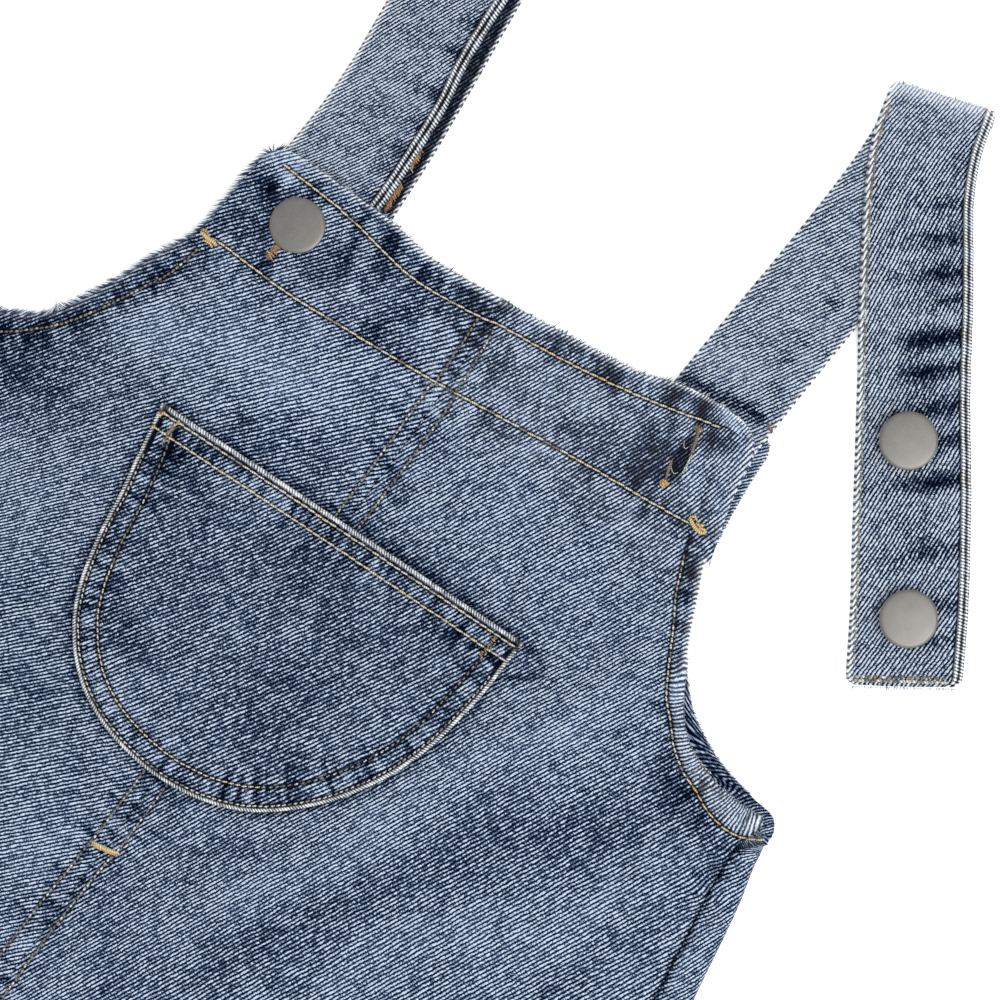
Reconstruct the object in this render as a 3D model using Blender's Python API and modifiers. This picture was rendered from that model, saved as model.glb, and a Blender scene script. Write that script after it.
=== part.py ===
"""Kids' denim dungarees, lying flat, face up.

World frame: metres, +Z up, +Y towards the shoulders, +X to the right of
someone looking down on the garment.  The garment rests on Z = 0 and the origin
is at the bottom centre of its box.

Lay frame: the tables and shape functions below are in millimetres, with the
origin at the middle of the bib's top edge.  The bib lies turned a few degrees
and shifted against the body, so every row has its own left, middle and right.

Two back panels lie on the ground, two front panels lie on them, and the straps
run from the back's top corners over a fold at the shoulder.  The left strap
passes behind the bib and is buttoned to it.  The right strap lies loose.
"""

import math

import bmesh
import bpy
from mathutils import Vector

MM = 0.001

# ---------------------------------------------------------------- driving sizes
CLOTH = 1.0                 # one layer of denim
DOUBLED = 2.0 * CLOTH       # turned hem of the bib, and each strap
GAP = 0.3                   # between pieces that are sewn or lie together
FRONT_REST = 2.0 * CLOTH + GAP          # top of the front where it lies on the back
BIB_CORNER_RIGHT = 9.0      # radius of the bib's corners
BIB_CORNER_LEFT = 7.0
BUTTON_DIAMETER = 17.0
BUTTON_STEM = 4.6
BUTTON_STEM_HEIGHT = DOUBLED + 2.0 * GAP    # room for the bib's hem under the cap
BUTTON_FOOT_DIAMETER = 9.6
BUTTON_FOOT_HEIGHT = 0.7
BUTTONHOLE_WIDTH = 1.6
SIDE_FOLD_HEIGHT = 4.5      # top of the right side where the back wraps round
SHOULDER_BULGE = 1.6        # how far a strap's fold stands out, for each mm of its radius

CENTRE_X = 1.93             # the middle of the garment's whole width, in the lay frame
ORIGIN_Y = -295.41          # the middle of its whole length

# ------------------------------------------------- rows across the front panels
# Each row crosses the garment from its left edge, through the middle seam, to
# its right edge.  "fold" is how far the back wraps round to the front on the
# right; there the front ends at the side seam.  "inseam" is half the distance
# between the legs.
FRONT_ROWS = [
    # name      left x  left y  mid x   mid y  right x right y inseam  fold
    ("top",      -78.5,   -1.3,   0.7,    0.3,   84.0,   12.5,   0.0,  0.0),
    ("hem",      -79.7,  -17.0,   1.5,  -15.0,   86.6,   -2.5,   0.0,  0.0),
    ("band",     -81.0,  -35.0,   2.3,  -29.6,   91.4,  -18.5,   0.0,  0.0),
    ("arm1",     -87.0,  -48.5,   2.4,  -42.0,   96.0,  -31.5,   0.0,  0.0),
    ("arm2",     -93.6,  -64.5,   2.4,  -56.0,  103.5,  -47.5,   0.0,  0.0),
    ("arm3",    -101.3,  -79.0,   2.3,  -68.0,  112.0,  -62.3,   0.0,  0.0),
    ("arm4",    -110.0,  -86.0,   2.3,  -77.0,  120.0,  -70.0,   0.0,  0.0),
    ("arm5",    -121.0,  -91.0,   2.2,  -84.0,  131.0,  -74.4,   0.0,  0.0),
    ("arm6",    -136.0,  -94.3,   2.2,  -90.0,  142.5,  -75.2,   0.0,  0.0),
    ("underarm", -150.5, -96.0,   2.2,  -96.0,  150.3,  -75.6,   0.0,  3.0),
    ("side1",   -153.0, -105.0,   2.1, -104.0,  148.6,  -87.5,   0.0,  7.4),
    ("side2",   -156.3, -122.0,   2.0, -120.0,  149.8, -102.0,   0.0, 10.0),
    ("side3",   -161.3, -148.0,   2.0, -143.0,  154.8, -131.0,   0.0, 10.5),
    ("waist",   -170.5, -195.0,   2.0, -190.0,  163.5, -181.0,   0.0, 12.0),
    ("hip",     -179.0, -250.0,   2.0, -246.0,  172.0, -241.0,   0.0, 12.0),
    ("seat",    -184.0, -312.0,   2.0, -310.0,  178.0, -307.0,   0.0, 11.0),
    ("crotch",  -186.0, -374.0,   2.0, -374.0,  181.5, -374.0,   0.0,  8.5),
    ("thigh",   -185.5, -396.0,   2.0, -392.0,  181.5, -396.0,   6.0,  8.0),
    ("leg",     -184.0, -450.0,   2.0, -446.0,  181.0, -450.0,  13.0,  7.0),
    ("knee",    -180.5, -545.0,   2.0, -542.0,  178.5, -545.0,  18.0,  6.0),
    ("shin",    -177.0, -640.0,   2.0, -638.0,  176.0, -640.0,  22.0,  5.0),
    ("hem_leg", -174.5, -720.0,   2.0, -720.0,  174.5, -720.0,  25.0,  4.0),
]
NAME, LEFT_X, LEFT_Y, MID_X, MID_Y, RIGHT_X, RIGHT_Y, INSEAM, FOLD = range(9)
ROW_NAMES = [row[NAME] for row in FRONT_ROWS]
BAND = ROW_NAMES.index("band")          # the bib's hem is turned down to this row
UNDERARM = ROW_NAMES.index("underarm")
HALVED_ROWS = ("hem", "band", "arm2", "underarm", "side1")  # a mesh row more after each
POCKET_ROWS = ("arm1", "waist")         # the front's rows that the pocket lies between

# The back follows the same rows, but its top is hidden behind the bib and its
# armholes lie a little outside the front's on the right, inside on the left.
BACK_ROWS = {
    # name      left x  left y   mid y  right x right y
    "top":     (-77.0,   -8.0,  -16.0,   88.4,   14.4),
    "hem":     (-78.0,  -20.0,  -24.0,   89.2,    0.0),
    "band":    (-79.5,  -36.0,  -35.0,   91.6,  -18.0),
    "arm1":    (-86.0,  -49.5,  -44.0,   94.8,  -31.5),
    "arm2":    (-92.6,  -65.5,  -56.0,  102.6,  -48.2),
    "arm3":   (-100.8,  -80.2,  -68.0,  113.4,  -60.5),
    "arm4":   (-109.6,  -87.2,  -77.0,  122.2,  -66.0),
    "arm5":   (-120.8,  -92.2,  -84.0,  132.6,  -69.8),
    "arm6":   (-136.0,  -95.4,  -90.0,  144.0,  -71.8),
    "underarm": (-150.5, -96.6, -96.0,  153.2,  -74.0),
}

# The top edge of the bib as it lies: it dips beside the left strap and steps up
# over the right one.
TOP_EDGE = [
    # x       y
    (-78.5,  -1.3),
    (-51.5,  -0.6),
    (-37.7,  -0.4),
    (-23.6,  -2.3),
    (0.7,     0.4),
    (44.9,    7.1),
    (55.3,   11.3),
    (64.1,   13.2),
    (84.0,   14.2),
]
TOP_EDGE_REACH = 26.0       # how far down the bib the edge's own shape fades out

# ------------------------------------------------------ what lifts the front up
# A lift is full inside its box and falls to nothing over "soft" all round.
LIFTS = [
    # lift           x from  x to   y from  y to   soft
    (DOUBLED + GAP,  -82.0, -36.0,  -93.0,  60.0, 30.0),   # strap behind the bib
    (DOUBLED + GAP,  -82.0, -36.0,  -29.0,  60.0, 24.0),   # its other, sewn end
    (DOUBLED + GAP,   50.0,  91.0,  -12.0,  60.0, 24.0),   # right strap's sewn end
    (CLOTH,         -100.0, 110.0,  -36.0,  60.0, 16.0),   # the bib's doubled hem
]
HIDDEN_BUTTON_LIFT = 4.3
HIDDEN_BUTTON_REACH = 10.0
HIDDEN_BUTTON_SOFT = 32.0
SIDE_SOFT = 34.0            # the front comes down to the back over this width
SIDE_RISE_FROM = UNDERARM - 1.0         # and its edge rises to the fold between these rows
SIDE_RISE_TO = UNDERARM + 0.6

# --------------------------------------------------------------- the two straps
# Middle line of each strap from its sewn end to the fold and on to its free
# end.  "z" is the middle of the doubled cloth, "across" the direction from its
# left to its right edge.
STRAP_LEFT_UNDER = [
    # x       y      z    across  width
    (-53.6,  -26.0,  2.3,   5.0,  31.0),
    (-54.4,   -8.0,  2.3,   5.0,  31.0),
    (-55.2,    6.0,  2.0,   6.0,  31.0),
    (-56.4,   22.0,  1.0,   6.5,  31.0),
    (-59.0,   45.0,  1.0,   6.5,  31.0),
    (-62.4,   73.0,  1.0,   6.5,  31.0),
    (-65.2,   97.0,  1.0,   7.0,  30.5),
]
STRAP_LEFT_OVER = [
    (-65.6,   97.0,  3.6,   7.0,  30.5),
    (-65.0,   74.0,  3.3,   6.5,  29.5),
    (-62.9,   50.0,  3.3,   6.0,  28.6),
    (-60.6,   34.0,  3.4,   5.0,  29.6),
    (-59.5,   18.0,  4.2,   3.0,  30.2),
    (-59.3,    4.0,  4.6,   2.0,  31.4),
    (-59.9,   -8.0,  4.6,   0.0,  31.4),
    (-60.1,  -16.5,  4.6,   0.0,  31.4),
    (-60.0,  -31.0,  4.6,   0.0,  31.4),
    (-59.4,  -42.0,  3.4,   0.0,  31.4),
    (-58.8,  -54.0,  2.3,   0.0,  31.4),
    (-58.2,  -67.5,  2.3,   0.0,  31.4),
    (-57.6,  -87.0,  2.3,   0.0,  31.4),
]
STRAP_RIGHT_UNDER = [
    (69.0,    -9.0,  2.3,  -3.0,  30.5),
    (69.7,     8.0,  2.3,  -3.0,  30.5),
    (70.1,    19.0,  2.1,  -3.0,  30.5),
    (70.8,    34.0,  1.0,  -3.0,  30.2),
    (72.0,    58.0,  1.0,  -2.0,  29.8),
    (72.8,    84.0,  1.0,   0.0,  29.4),
    (72.2,   104.0,  1.0,   9.0,  29.4),
    (69.6,   121.0,  1.0,  19.0,  30.0),
]
STRAP_RIGHT_OVER = [
    (68.6,   121.5,  3.6,  20.0,  30.6),
    (72.4,   109.2,  3.6,  21.5,  30.9),
    (79.2,    96.3,  3.4,  26.0,  31.0),
    (88.6,    82.7,  3.3,  32.0,  31.6),
    (99.5,    67.0,  3.3,  36.0,  32.2),
    (107.8,   55.4,  2.3,  36.5,  31.8),
    (116.0,   44.2,  1.0,  36.5,  32.2),
    (126.3,   30.0,  1.0,  36.5,  33.0),
    (135.2,   17.4,  1.0,  36.5,  33.4),
    (147.6,   -0.4,  1.0,  36.0,  33.4),
    (159.8,  -19.6,  1.0,  35.0,  33.0),
]
FOLD_STEPS = 8
STRAP_END_CORNER = 3.0
STRAP_SHARES = (-1.0, -0.35, 0.35, 1.0)     # a strap's mesh columns, in half widths

BUTTON_PLACES = {
    # name                 x      y     z of the strap's middle
    "button_left_upper":  (-60.1, -16.5, 4.6),
    "button_left_lower":  (-58.2, -67.5, 2.3),
    "button_right_upper": (118.4,  37.5, 1.0),
    "button_right_lower": (148.6,  -3.3, 1.0),
}
CAP_PROFILE = [
    # share of the cap's radius, height above its underside
    (0.0,  1.70),
    (0.45, 1.615),
    (0.85, 1.35),
    (0.97, 1.02),
    (1.0,  0.60),
    (0.96, 0.0),
]

# Both buttonholes run down from the top stitching.  Each is cut from a height
# between the strap and the bib over it.
BUTTONHOLES = {
    # name         top x  top y  bottom x bottom y from
    "hole_right": (66.8,    5.0,   69.7,  -14.3,  3.6),
    "hole_left":  (-59.9,  -9.7,  -60.8,  -29.2,  5.75),
}
CUTTER_TOP = 12.0           # above every piece that a buttonhole's cutter passes

# ------------------------------------------------------------- the chest pocket
# A half-moon with its top edge pulled a little askew.
POCKET_TOP_LEFT = (-59.7, -81.2)
POCKET_TOP_RIGHT = (63.9, -75.4)
POCKET_MIDDLE = (2.4, -90.0)
POCKET_CURVE = [
    # anticlockwise from +X: angle in degrees, distance from the pocket's middle
    (186.0, 59.8),
    (199.0, 60.4),
    (214.0, 65.6),
    (229.0, 72.8),
    (244.0, 77.8),
    (259.0, 79.0),
    (274.0, 78.5),
    (289.0, 76.4),
    (304.0, 71.8),
    (319.0, 67.2),
    (334.0, 63.6),
    (349.0, 61.2),
    (364.0, 61.2),
]

COLUMNS = 7
FOLD_COLUMNS = 6
CORNER_ROWS = (0.0, 0.06, 0.2, 0.45)
BUTTON_STEPS = 28
HOLE_STEPS = 20
POCKET_PRISM_TOP = 20.0     # well above the pocket

DENIM = (0.10, 0.17, 0.30, 1.0)
DENIM_LIGHT = (0.16, 0.25, 0.38, 1.0)
PEWTER = (0.42, 0.40, 0.37, 1.0)


# --------------------------------------------------------------------- helpers
def smoothstep(low, high, value):
    """0 below low, 1 above high, and a smooth ramp between them."""
    t = min(1.0, max(0.0, (value - low) / (high - low)))
    return t * t * (3.0 - 2.0 * t)


def plateau(value, low, high, soft):
    """1 between low and high, falling to 0 over the distance soft."""
    return smoothstep(low - soft, low, value) * (1.0 - smoothstep(high, high + soft, value))


def catmull(rows, place):
    """The row at a fractional place in a table, on a smooth curve through its rows."""
    last = len(rows) - 1
    index = min(int(place), last - 1)
    t = place - index
    before = rows[max(index - 1, 0)]
    start = rows[index]
    end = rows[index + 1]
    after = rows[min(index + 2, last)]
    return [0.5 * (2.0 * b + (c - a) * t + (2.0 * a - 5.0 * b + 4.0 * c - d) * t * t
                   + (3.0 * b - a - 3.0 * c + d) * t ** 3)
            for a, b, c, d in zip(before, start, end, after)]


def broken_line(points, x):
    """The height of a broken line at x."""
    for (x0, y0), (x1, y1) in zip(points, points[1:]):
        if x <= x1 or (x1, y1) == points[-1]:
            return y0 + (y1 - y0) * (x - x0) / (x1 - x0)


def world(x, y, z):
    """A point of the lay frame, in metres in the world frame."""
    return Vector(((x - CENTRE_X) * MM, (y - ORIGIN_Y) * MM, z * MM))


# -------------------------------------------------------- where the cloth lies
def front_numbers():
    return [row[1:] for row in FRONT_ROWS]


def back_numbers():
    """The back's rows, in the front's columns; below the armhole both share them."""
    rows = []
    for row in FRONT_ROWS:
        name, left_x, left_y, mid_x, mid_y, right_x, right_y, inseam, fold = row
        seam_x = right_x
        if name in BACK_ROWS:
            left_x, left_y, mid_y, right_x, right_y = BACK_ROWS[name]
            fold = right_x - seam_x
        else:
            right_x += fold
        rows.append((left_x, left_y, mid_x, mid_y, right_x, right_y, inseam, fold))
    return rows


def row_ends(rows, place, side):
    """Inner and outer end of a row on one side (-1 left, +1 right)."""
    left_x, left_y, mid_x, mid_y, right_x, right_y, inseam, fold = catmull(rows, place)
    inner = Vector((mid_x + side * (inseam + GAP / 2.0), mid_y))
    outer = Vector((left_x, left_y)) if side < 0 else Vector((right_x, right_y))
    return inner, outer, fold


def corner_inset(depth, radius):
    """How far a rounded corner steps in at a depth below the edge."""
    if depth >= radius:
        return 0.0
    return radius - math.sqrt(radius ** 2 - (radius - depth) ** 2)


def front_plan(place, u, side):
    """A front panel's point seen from above: u runs from the middle to the edge."""
    rows = front_numbers()
    inner, outer, fold = row_ends(rows, place, side)
    top_inner, top_outer, top_fold = row_ends(rows, 0.0, side)
    along = (outer - inner).normalized()
    radius = BIB_CORNER_RIGHT if side > 0 else BIB_CORNER_LEFT
    outer = outer - along * corner_inset((outer - top_outer).length, radius)
    point = inner.lerp(outer, u)
    fade = 1.0 - smoothstep(0.0, TOP_EDGE_REACH, top_inner.y - inner.y)
    chord = top_inner.lerp(top_outer, (point.x - top_inner.x) / (top_outer.x - top_inner.x))
    point.y += fade * (broken_line(TOP_EDGE, point.x) - chord.y)
    return point, (outer - point).length


def front_height(x, y):
    """Height of the front's upper face above the ground."""
    height = FRONT_REST
    for lift, x_from, x_to, y_from, y_to, soft in LIFTS:
        height += lift * plateau(x, x_from, x_to, soft) * plateau(y, y_from, y_to, soft)
    button_x, button_y, button_z = BUTTON_PLACES["button_left_lower"]
    far = math.hypot(x - button_x, y - button_y)
    height += HIDDEN_BUTTON_LIFT * (
        1.0 - smoothstep(HIDDEN_BUTTON_REACH, HIDDEN_BUTTON_REACH + HIDDEN_BUTTON_SOFT, far))
    return height


def front_point(place, u, side, lift=0.0):
    """A point of a front panel's upper face, or one that lies above it by lift."""
    plan, to_edge = front_plan(place, u, side)
    height = front_height(plan.x, plan.y)
    if side > 0:
        beside_fold = smoothstep(SIDE_RISE_FROM, SIDE_RISE_TO, place)
        rise = SIDE_FOLD_HEIGHT - FRONT_REST
        height += rise * beside_fold * (1.0 - smoothstep(0.0, SIDE_SOFT, to_edge))
    return world(plan.x, plan.y, height + lift)


def back_section(place, share, side):
    """A point of a back panel's outer face.

    share runs from 0 at the middle to 1 near the edge and on the right from 1
    to 2 over the last strip.  Beside the armhole that strip lies flat, and
    below it goes round the outline and over to the side seam.
    """
    inner, outer, fold = row_ends(back_numbers(), place, side)
    if side < 0:
        point = inner.lerp(outer, share)
        return world(point.x, point.y, 0.0)
    radius = 0.5 * SIDE_FOLD_HEIGHT
    strip = math.pi * radius + max(fold - radius - GAP, 0.0)
    folded = smoothstep(UNDERARM, UNDERARM + 1.0, place)
    flat_end = outer.x - strip + folded * (strip - radius)
    if share <= 1.0:
        return world(inner.x + (flat_end - inner.x) * share,
                     inner.y + (outer.y - inner.y) * share, 0.0)
    travel = (share - 1.0) * strip
    angle = min(travel / radius, math.pi)
    back_over = max(travel - math.pi * radius, 0.0)
    x = outer.x - radius + radius * math.sin(angle) - back_over
    z = radius * (1.0 - math.cos(angle))
    return world(flat_end + travel, outer.y, 0.0).lerp(world(x, outer.y, z), folded)


def panel_places():
    """Where the rows of a panel's mesh lie, closest together at the bib's corner."""
    places = list(CORNER_ROWS)
    for index in range(1, len(FRONT_ROWS) - 1):
        steps = 2 if ROW_NAMES[index] in HALVED_ROWS else 1
        places += [index + part / steps for part in range(steps)]
    return places + [len(FRONT_ROWS) - 1.0]


# -------------------------------------------------------------- making objects
def new_collection(name):
    collection = bpy.data.collections.new(name)
    bpy.context.scene.collection.children.link(collection)
    return collection


def new_material(name, colour, roughness, metallic):
    material = bpy.data.materials.new(name)
    material.use_nodes = True
    shader = material.node_tree.nodes["Principled BSDF"]
    shader.inputs["Base Color"].default_value = colour
    shader.inputs["Roughness"].default_value = roughness
    shader.inputs["Metallic"].default_value = metallic
    material.diffuse_color = colour
    return material


def object_from_bmesh(name, mesh_data, collection):
    mesh = bpy.data.meshes.new(name)
    mesh_data.to_mesh(mesh)
    mesh_data.free()
    made = bpy.data.objects.new(name, mesh)
    collection.objects.link(made)
    return made


def grid_surface(name, points, collection):
    """An open surface through a grid of points, one list of points for each row."""
    rows = len(points)
    columns = len(points[0])
    mesh_data = bmesh.new()
    bmesh.ops.create_grid(mesh_data, x_segments=columns - 1, y_segments=rows - 1, size=1.0)
    mesh_data.verts.ensure_lookup_table()
    for index, vertex in enumerate(mesh_data.verts):
        vertex.co = points[index // columns][index % columns]
    return object_from_bmesh(name, mesh_data, collection)


def thicken(made, thickness, offset, doubled_to=None):
    """Give a surface its cloth; doubled_to makes its first rows two layers thick."""
    solidify = made.modifiers.new("cloth", "SOLIDIFY")
    solidify.thickness = thickness * MM
    solidify.offset = offset
    solidify.use_even_offset = False
    if doubled_to is not None:
        group = made.vertex_groups.new(name="hem")
        group.add(list(range(len(made.data.vertices))), 0.5, "REPLACE")
        group.add(doubled_to, 1.0, "REPLACE")
        solidify.thickness = 2.0 * thickness * MM
        solidify.vertex_group = "hem"
    return solidify


def cut_with(made, cutter):
    cut = made.modifiers.new("cut", "BOOLEAN")
    cut.operation = "DIFFERENCE"
    cut.object = cutter
    cutter.hide_render = True
    cutter.display_type = "WIRE"


def outline_prism(name, outline, z_from, z_to, collection):
    """A closed prism over an outline given as points of the lay frame."""
    mesh_data = bmesh.new()
    corners = [mesh_data.verts.new(world(x, y, z_from)) for x, y in outline]
    face = mesh_data.faces.new(corners)
    swept = bmesh.ops.extrude_face_region(mesh_data, geom=[face])
    moved = [item for item in swept["geom"] if isinstance(item, bmesh.types.BMVert)]
    bmesh.ops.translate(mesh_data, vec=(0.0, 0.0, (z_to - z_from) * MM), verts=moved)
    bmesh.ops.recalc_face_normals(mesh_data, faces=mesh_data.faces)
    return object_from_bmesh(name, mesh_data, collection)


def round_cutter(name, place, diameter, z_from, z_to, collection):
    mesh_data = bmesh.new()
    bmesh.ops.create_cone(mesh_data, cap_ends=True, segments=HOLE_STEPS, radius1=diameter * MM / 2.0,
                          radius2=diameter * MM / 2.0, depth=(z_to - z_from) * MM)
    centre = world(place[0], place[1], (z_from + z_to) / 2.0)
    bmesh.ops.translate(mesh_data, vec=centre, verts=mesh_data.verts)
    return object_from_bmesh(name, mesh_data, collection)


# ------------------------------------------------------------------ the pieces
def front_panel(name, side, material, collection):
    places = panel_places()
    points = []
    hem_vertices = []
    for row, place in enumerate(places):
        for column in range(COLUMNS + 1):
            if place <= BAND:
                hem_vertices.append(row * (COLUMNS + 1) + column)
        points.append([front_point(place, column / COLUMNS, side)
                       for column in range(COLUMNS + 1)])
    panel = grid_surface(name, points, collection)
    panel.data.materials.append(material)
    if side > 0:
        panel.data.flip_normals()
    thicken(panel, CLOTH, -1.0, hem_vertices)
    return panel


def back_panel(name, side, material, collection):
    shares = [column / COLUMNS for column in range(COLUMNS + 1)]
    if side > 0:
        shares += [1.0 + column / FOLD_COLUMNS for column in range(1, FOLD_COLUMNS + 1)]
    points = [[back_section(place, share, side) for share in shares]
              for place in panel_places()]
    panel = grid_surface(name, points, collection)
    panel.data.materials.append(material)
    if side < 0:
        panel.data.flip_normals()
    thicken(panel, CLOTH, -1.0)
    return panel


def pocket_outline():
    """The pocket seen from above, anticlockwise from its top left corner."""
    outline = [POCKET_TOP_LEFT]
    for step in range(2 * len(POCKET_CURVE) - 1):
        degrees, distance = catmull(POCKET_CURVE, step / 2.0)
        angle = math.radians(degrees)
        outline.append((POCKET_MIDDLE[0] + distance * math.cos(angle),
                        POCKET_MIDDLE[1] + distance * math.sin(angle)))
    outline.append(POCKET_TOP_RIGHT)
    return outline


def pocket(material, collection, cutters):
    """The pocket is a piece of the front's own surface, moved out."""
    first, last = (ROW_NAMES.index(name) for name in POCKET_ROWS)
    places = [place for place in panel_places() if first <= place <= last]
    points = []
    for place in places:
        left = [front_point(place, column / COLUMNS, -1, GAP)
                for column in range(COLUMNS, -1, -1)]
        right = [front_point(place, column / COLUMNS, 1, GAP)
                 for column in range(COLUMNS + 1)]
        points.append(left + right)
    made = grid_surface("pocket", points, collection)
    made.data.materials.append(material)
    made.data.flip_normals()
    thicken(made, CLOTH, 1.0)
    prism = outline_prism("pocket_outline", pocket_outline(), 0.0, POCKET_PRISM_TOP, cutters)
    cut_with(made, prism)
    made.modifiers["cut"].operation = "INTERSECT"
    return made


def strap_sections(under, over):
    """Rows of a strap's middle surface: one run, the fold at the shoulder, the other run."""
    sections = []
    for table in (under, over):
        count = 2 * (len(table) - 1)
        run = [catmull(table, step / 2.0) for step in range(count + 1)]
        sections.append(run)
    turn = sections[0][-1]
    landing = sections[1][0]
    middle_z = 0.5 * (turn[2] + landing[2])
    radius = 0.5 * (landing[2] - turn[2])
    arc = []
    for step in range(1, FOLD_STEPS):
        angle = math.pi * step / FOLD_STEPS
        share = step / FOLD_STEPS
        blended = [a + (b - a) * share for a, b in zip(turn, landing)]
        forward = math.radians(blended[3] + 90.0)
        reach = SHOULDER_BULGE * radius * math.sin(angle)
        blended[0] += reach * math.cos(forward)
        blended[1] += reach * math.sin(forward)
        blended[2] = middle_z - radius * math.cos(angle)
        arc.append(blended)
    return sections[0] + arc + sections[1]


def strap(name, under, over, buttons, material, collection, cutters):
    sections = strap_sections(under, over)
    end_x, end_y = sections[-1][0], sections[-1][1]
    points = []
    for x, y, z, across, width in sections:
        z = max(z, DOUBLED / 2.0)
        to_end = math.hypot(x - end_x, y - end_y)
        half = width / 2.0 - corner_inset(to_end, STRAP_END_CORNER)
        turn = math.radians(across)
        points.append([world(x + share * half * math.cos(turn), y + share * half * math.sin(turn), z)
                       for share in STRAP_SHARES])
    made = grid_surface(name, points, collection)
    made.data.materials.append(material)
    thicken(made, DOUBLED, 0.0)
    for button in buttons:
        x, y, z = BUTTON_PLACES[button]
        stem = round_cutter(button + "_hole", (x, y), BUTTON_STEM + 2.0 * GAP,
                            z - DOUBLED, z + DOUBLED, cutters)
        foot = round_cutter(button + "_seat", (x, y), BUTTON_FOOT_DIAMETER + 2.0 * GAP,
                            z - DOUBLED, z, cutters)
        cut_with(made, stem)
        cut_with(made, foot)
    return made


def button(name, material, collection):
    """A tack button: a domed cap on a stem, with a foot sunk in the strap's underside."""
    x, y, z = BUTTON_PLACES[name]
    foot = z - CLOTH
    cap = z + CLOTH + BUTTON_STEM_HEIGHT
    rim = BUTTON_DIAMETER / 2.0
    profile = [(share * rim, cap + height) for share, height in CAP_PROFILE]
    profile += [
        (BUTTON_STEM / 2.0, cap),
        (BUTTON_STEM / 2.0, foot + BUTTON_FOOT_HEIGHT),
        (BUTTON_FOOT_DIAMETER / 2.0, foot + BUTTON_FOOT_HEIGHT),
        (BUTTON_FOOT_DIAMETER / 2.0, foot),
        (0.0, foot),
    ]
    mesh_data = bmesh.new()
    ring = [mesh_data.verts.new((radius * MM, 0.0, height * MM)) for radius, height in profile]
    for above, below in zip(ring, ring[1:]):
        mesh_data.edges.new((above, below))
    made = object_from_bmesh(name, mesh_data, collection)
    made.location = world(x, y, 0.0)
    made.data.materials.append(material)
    turn = made.modifiers.new("turn", "SCREW")
    turn.steps = BUTTON_STEPS
    turn.render_steps = BUTTON_STEPS
    turn.use_merge_vertices = True
    turn.merge_threshold = 0.00001
    return made


def cut_buttonhole(made, name, cutters):
    """Cut a slot through the bib's hem."""
    top_x, top_y, bottom_x, bottom_y, z_from = BUTTONHOLES[name]
    start = Vector((top_x, top_y))
    end = Vector((bottom_x, bottom_y))
    along = (end - start).normalized()
    side = Vector((-along.y, along.x)) * (BUTTONHOLE_WIDTH / 2.0)
    corners = [start + side, end + side, end - side, start - side]
    outline = [tuple(corner) for corner in corners]
    cut_with(made, outline_prism(name, outline, z_from, CUTTER_TOP, cutters))


def main():
    for existing in list(bpy.data.objects):
        bpy.data.objects.remove(existing, do_unlink=True)
    dungarees = new_collection("dungarees")
    cutters = new_collection("cutters")

    def denim(name, colour=DENIM):
        return new_material(name, colour, 0.9, 0.0)

    front_left = front_panel("front_left", -1, denim("denim_front_left"), dungarees)
    front_right = front_panel("front_right", 1, denim("denim_front_right"), dungarees)
    back_panel("back_left", -1, denim("denim_back_left"), dungarees)
    back_panel("back_right", 1, denim("denim_back_right"), dungarees)
    pocket(denim("denim_pocket", DENIM_LIGHT), dungarees, cutters)
    strap("strap_left", STRAP_LEFT_UNDER, STRAP_LEFT_OVER,
          ("button_left_upper", "button_left_lower"),
          denim("denim_strap_left", DENIM_LIGHT), dungarees, cutters)
    strap("strap_right", STRAP_RIGHT_UNDER, STRAP_RIGHT_OVER,
          ("button_right_upper", "button_right_lower"),
          denim("denim_strap_right", DENIM_LIGHT), dungarees, cutters)
    for name in BUTTON_PLACES:
        button(name, new_material("pewter_" + name, PEWTER, 0.4, 1.0), dungarees)

    cut_buttonhole(front_right, "hole_right", cutters)
    cut_buttonhole(front_left, "hole_left", cutters)
    stem_x, stem_y, strap_z = BUTTON_PLACES["button_left_upper"]
    stem_hole = round_cutter("hole_left_stem", (stem_x, stem_y), BUTTON_STEM + 2.0 * GAP,
                             BUTTONHOLES["hole_left"][-1], CUTTER_TOP, cutters)
    cut_with(front_left, stem_hole)


main()
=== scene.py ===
"""Looks of the kids' denim dungarees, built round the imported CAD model.

Tables are in millimetres of the lay frame, as in the part's source: the origin is
the middle of the bib's top edge, +Y towards the shoulders and Z up from the ground.
world() turns them into metres of the row frame.
"""

import math

import bpy
import numpy as np
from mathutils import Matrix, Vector
from mathutils.bvhtree import BVHTree
from mathutils.geometry import delaunay_2d_cdt

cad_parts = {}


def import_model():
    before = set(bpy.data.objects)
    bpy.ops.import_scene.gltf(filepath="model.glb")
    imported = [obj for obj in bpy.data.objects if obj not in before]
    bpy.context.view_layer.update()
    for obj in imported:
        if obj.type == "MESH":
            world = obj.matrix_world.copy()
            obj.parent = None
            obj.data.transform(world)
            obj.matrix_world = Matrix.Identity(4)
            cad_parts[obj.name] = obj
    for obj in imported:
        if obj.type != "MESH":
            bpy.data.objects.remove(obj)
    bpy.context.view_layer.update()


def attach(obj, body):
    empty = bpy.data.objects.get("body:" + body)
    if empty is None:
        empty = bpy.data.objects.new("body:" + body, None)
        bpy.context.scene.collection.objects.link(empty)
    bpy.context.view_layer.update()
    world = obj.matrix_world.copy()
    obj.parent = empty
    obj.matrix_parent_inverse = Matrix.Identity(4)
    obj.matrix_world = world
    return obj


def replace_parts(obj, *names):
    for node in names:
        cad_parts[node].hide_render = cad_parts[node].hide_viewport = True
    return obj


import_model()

MM = 0.001

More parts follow.
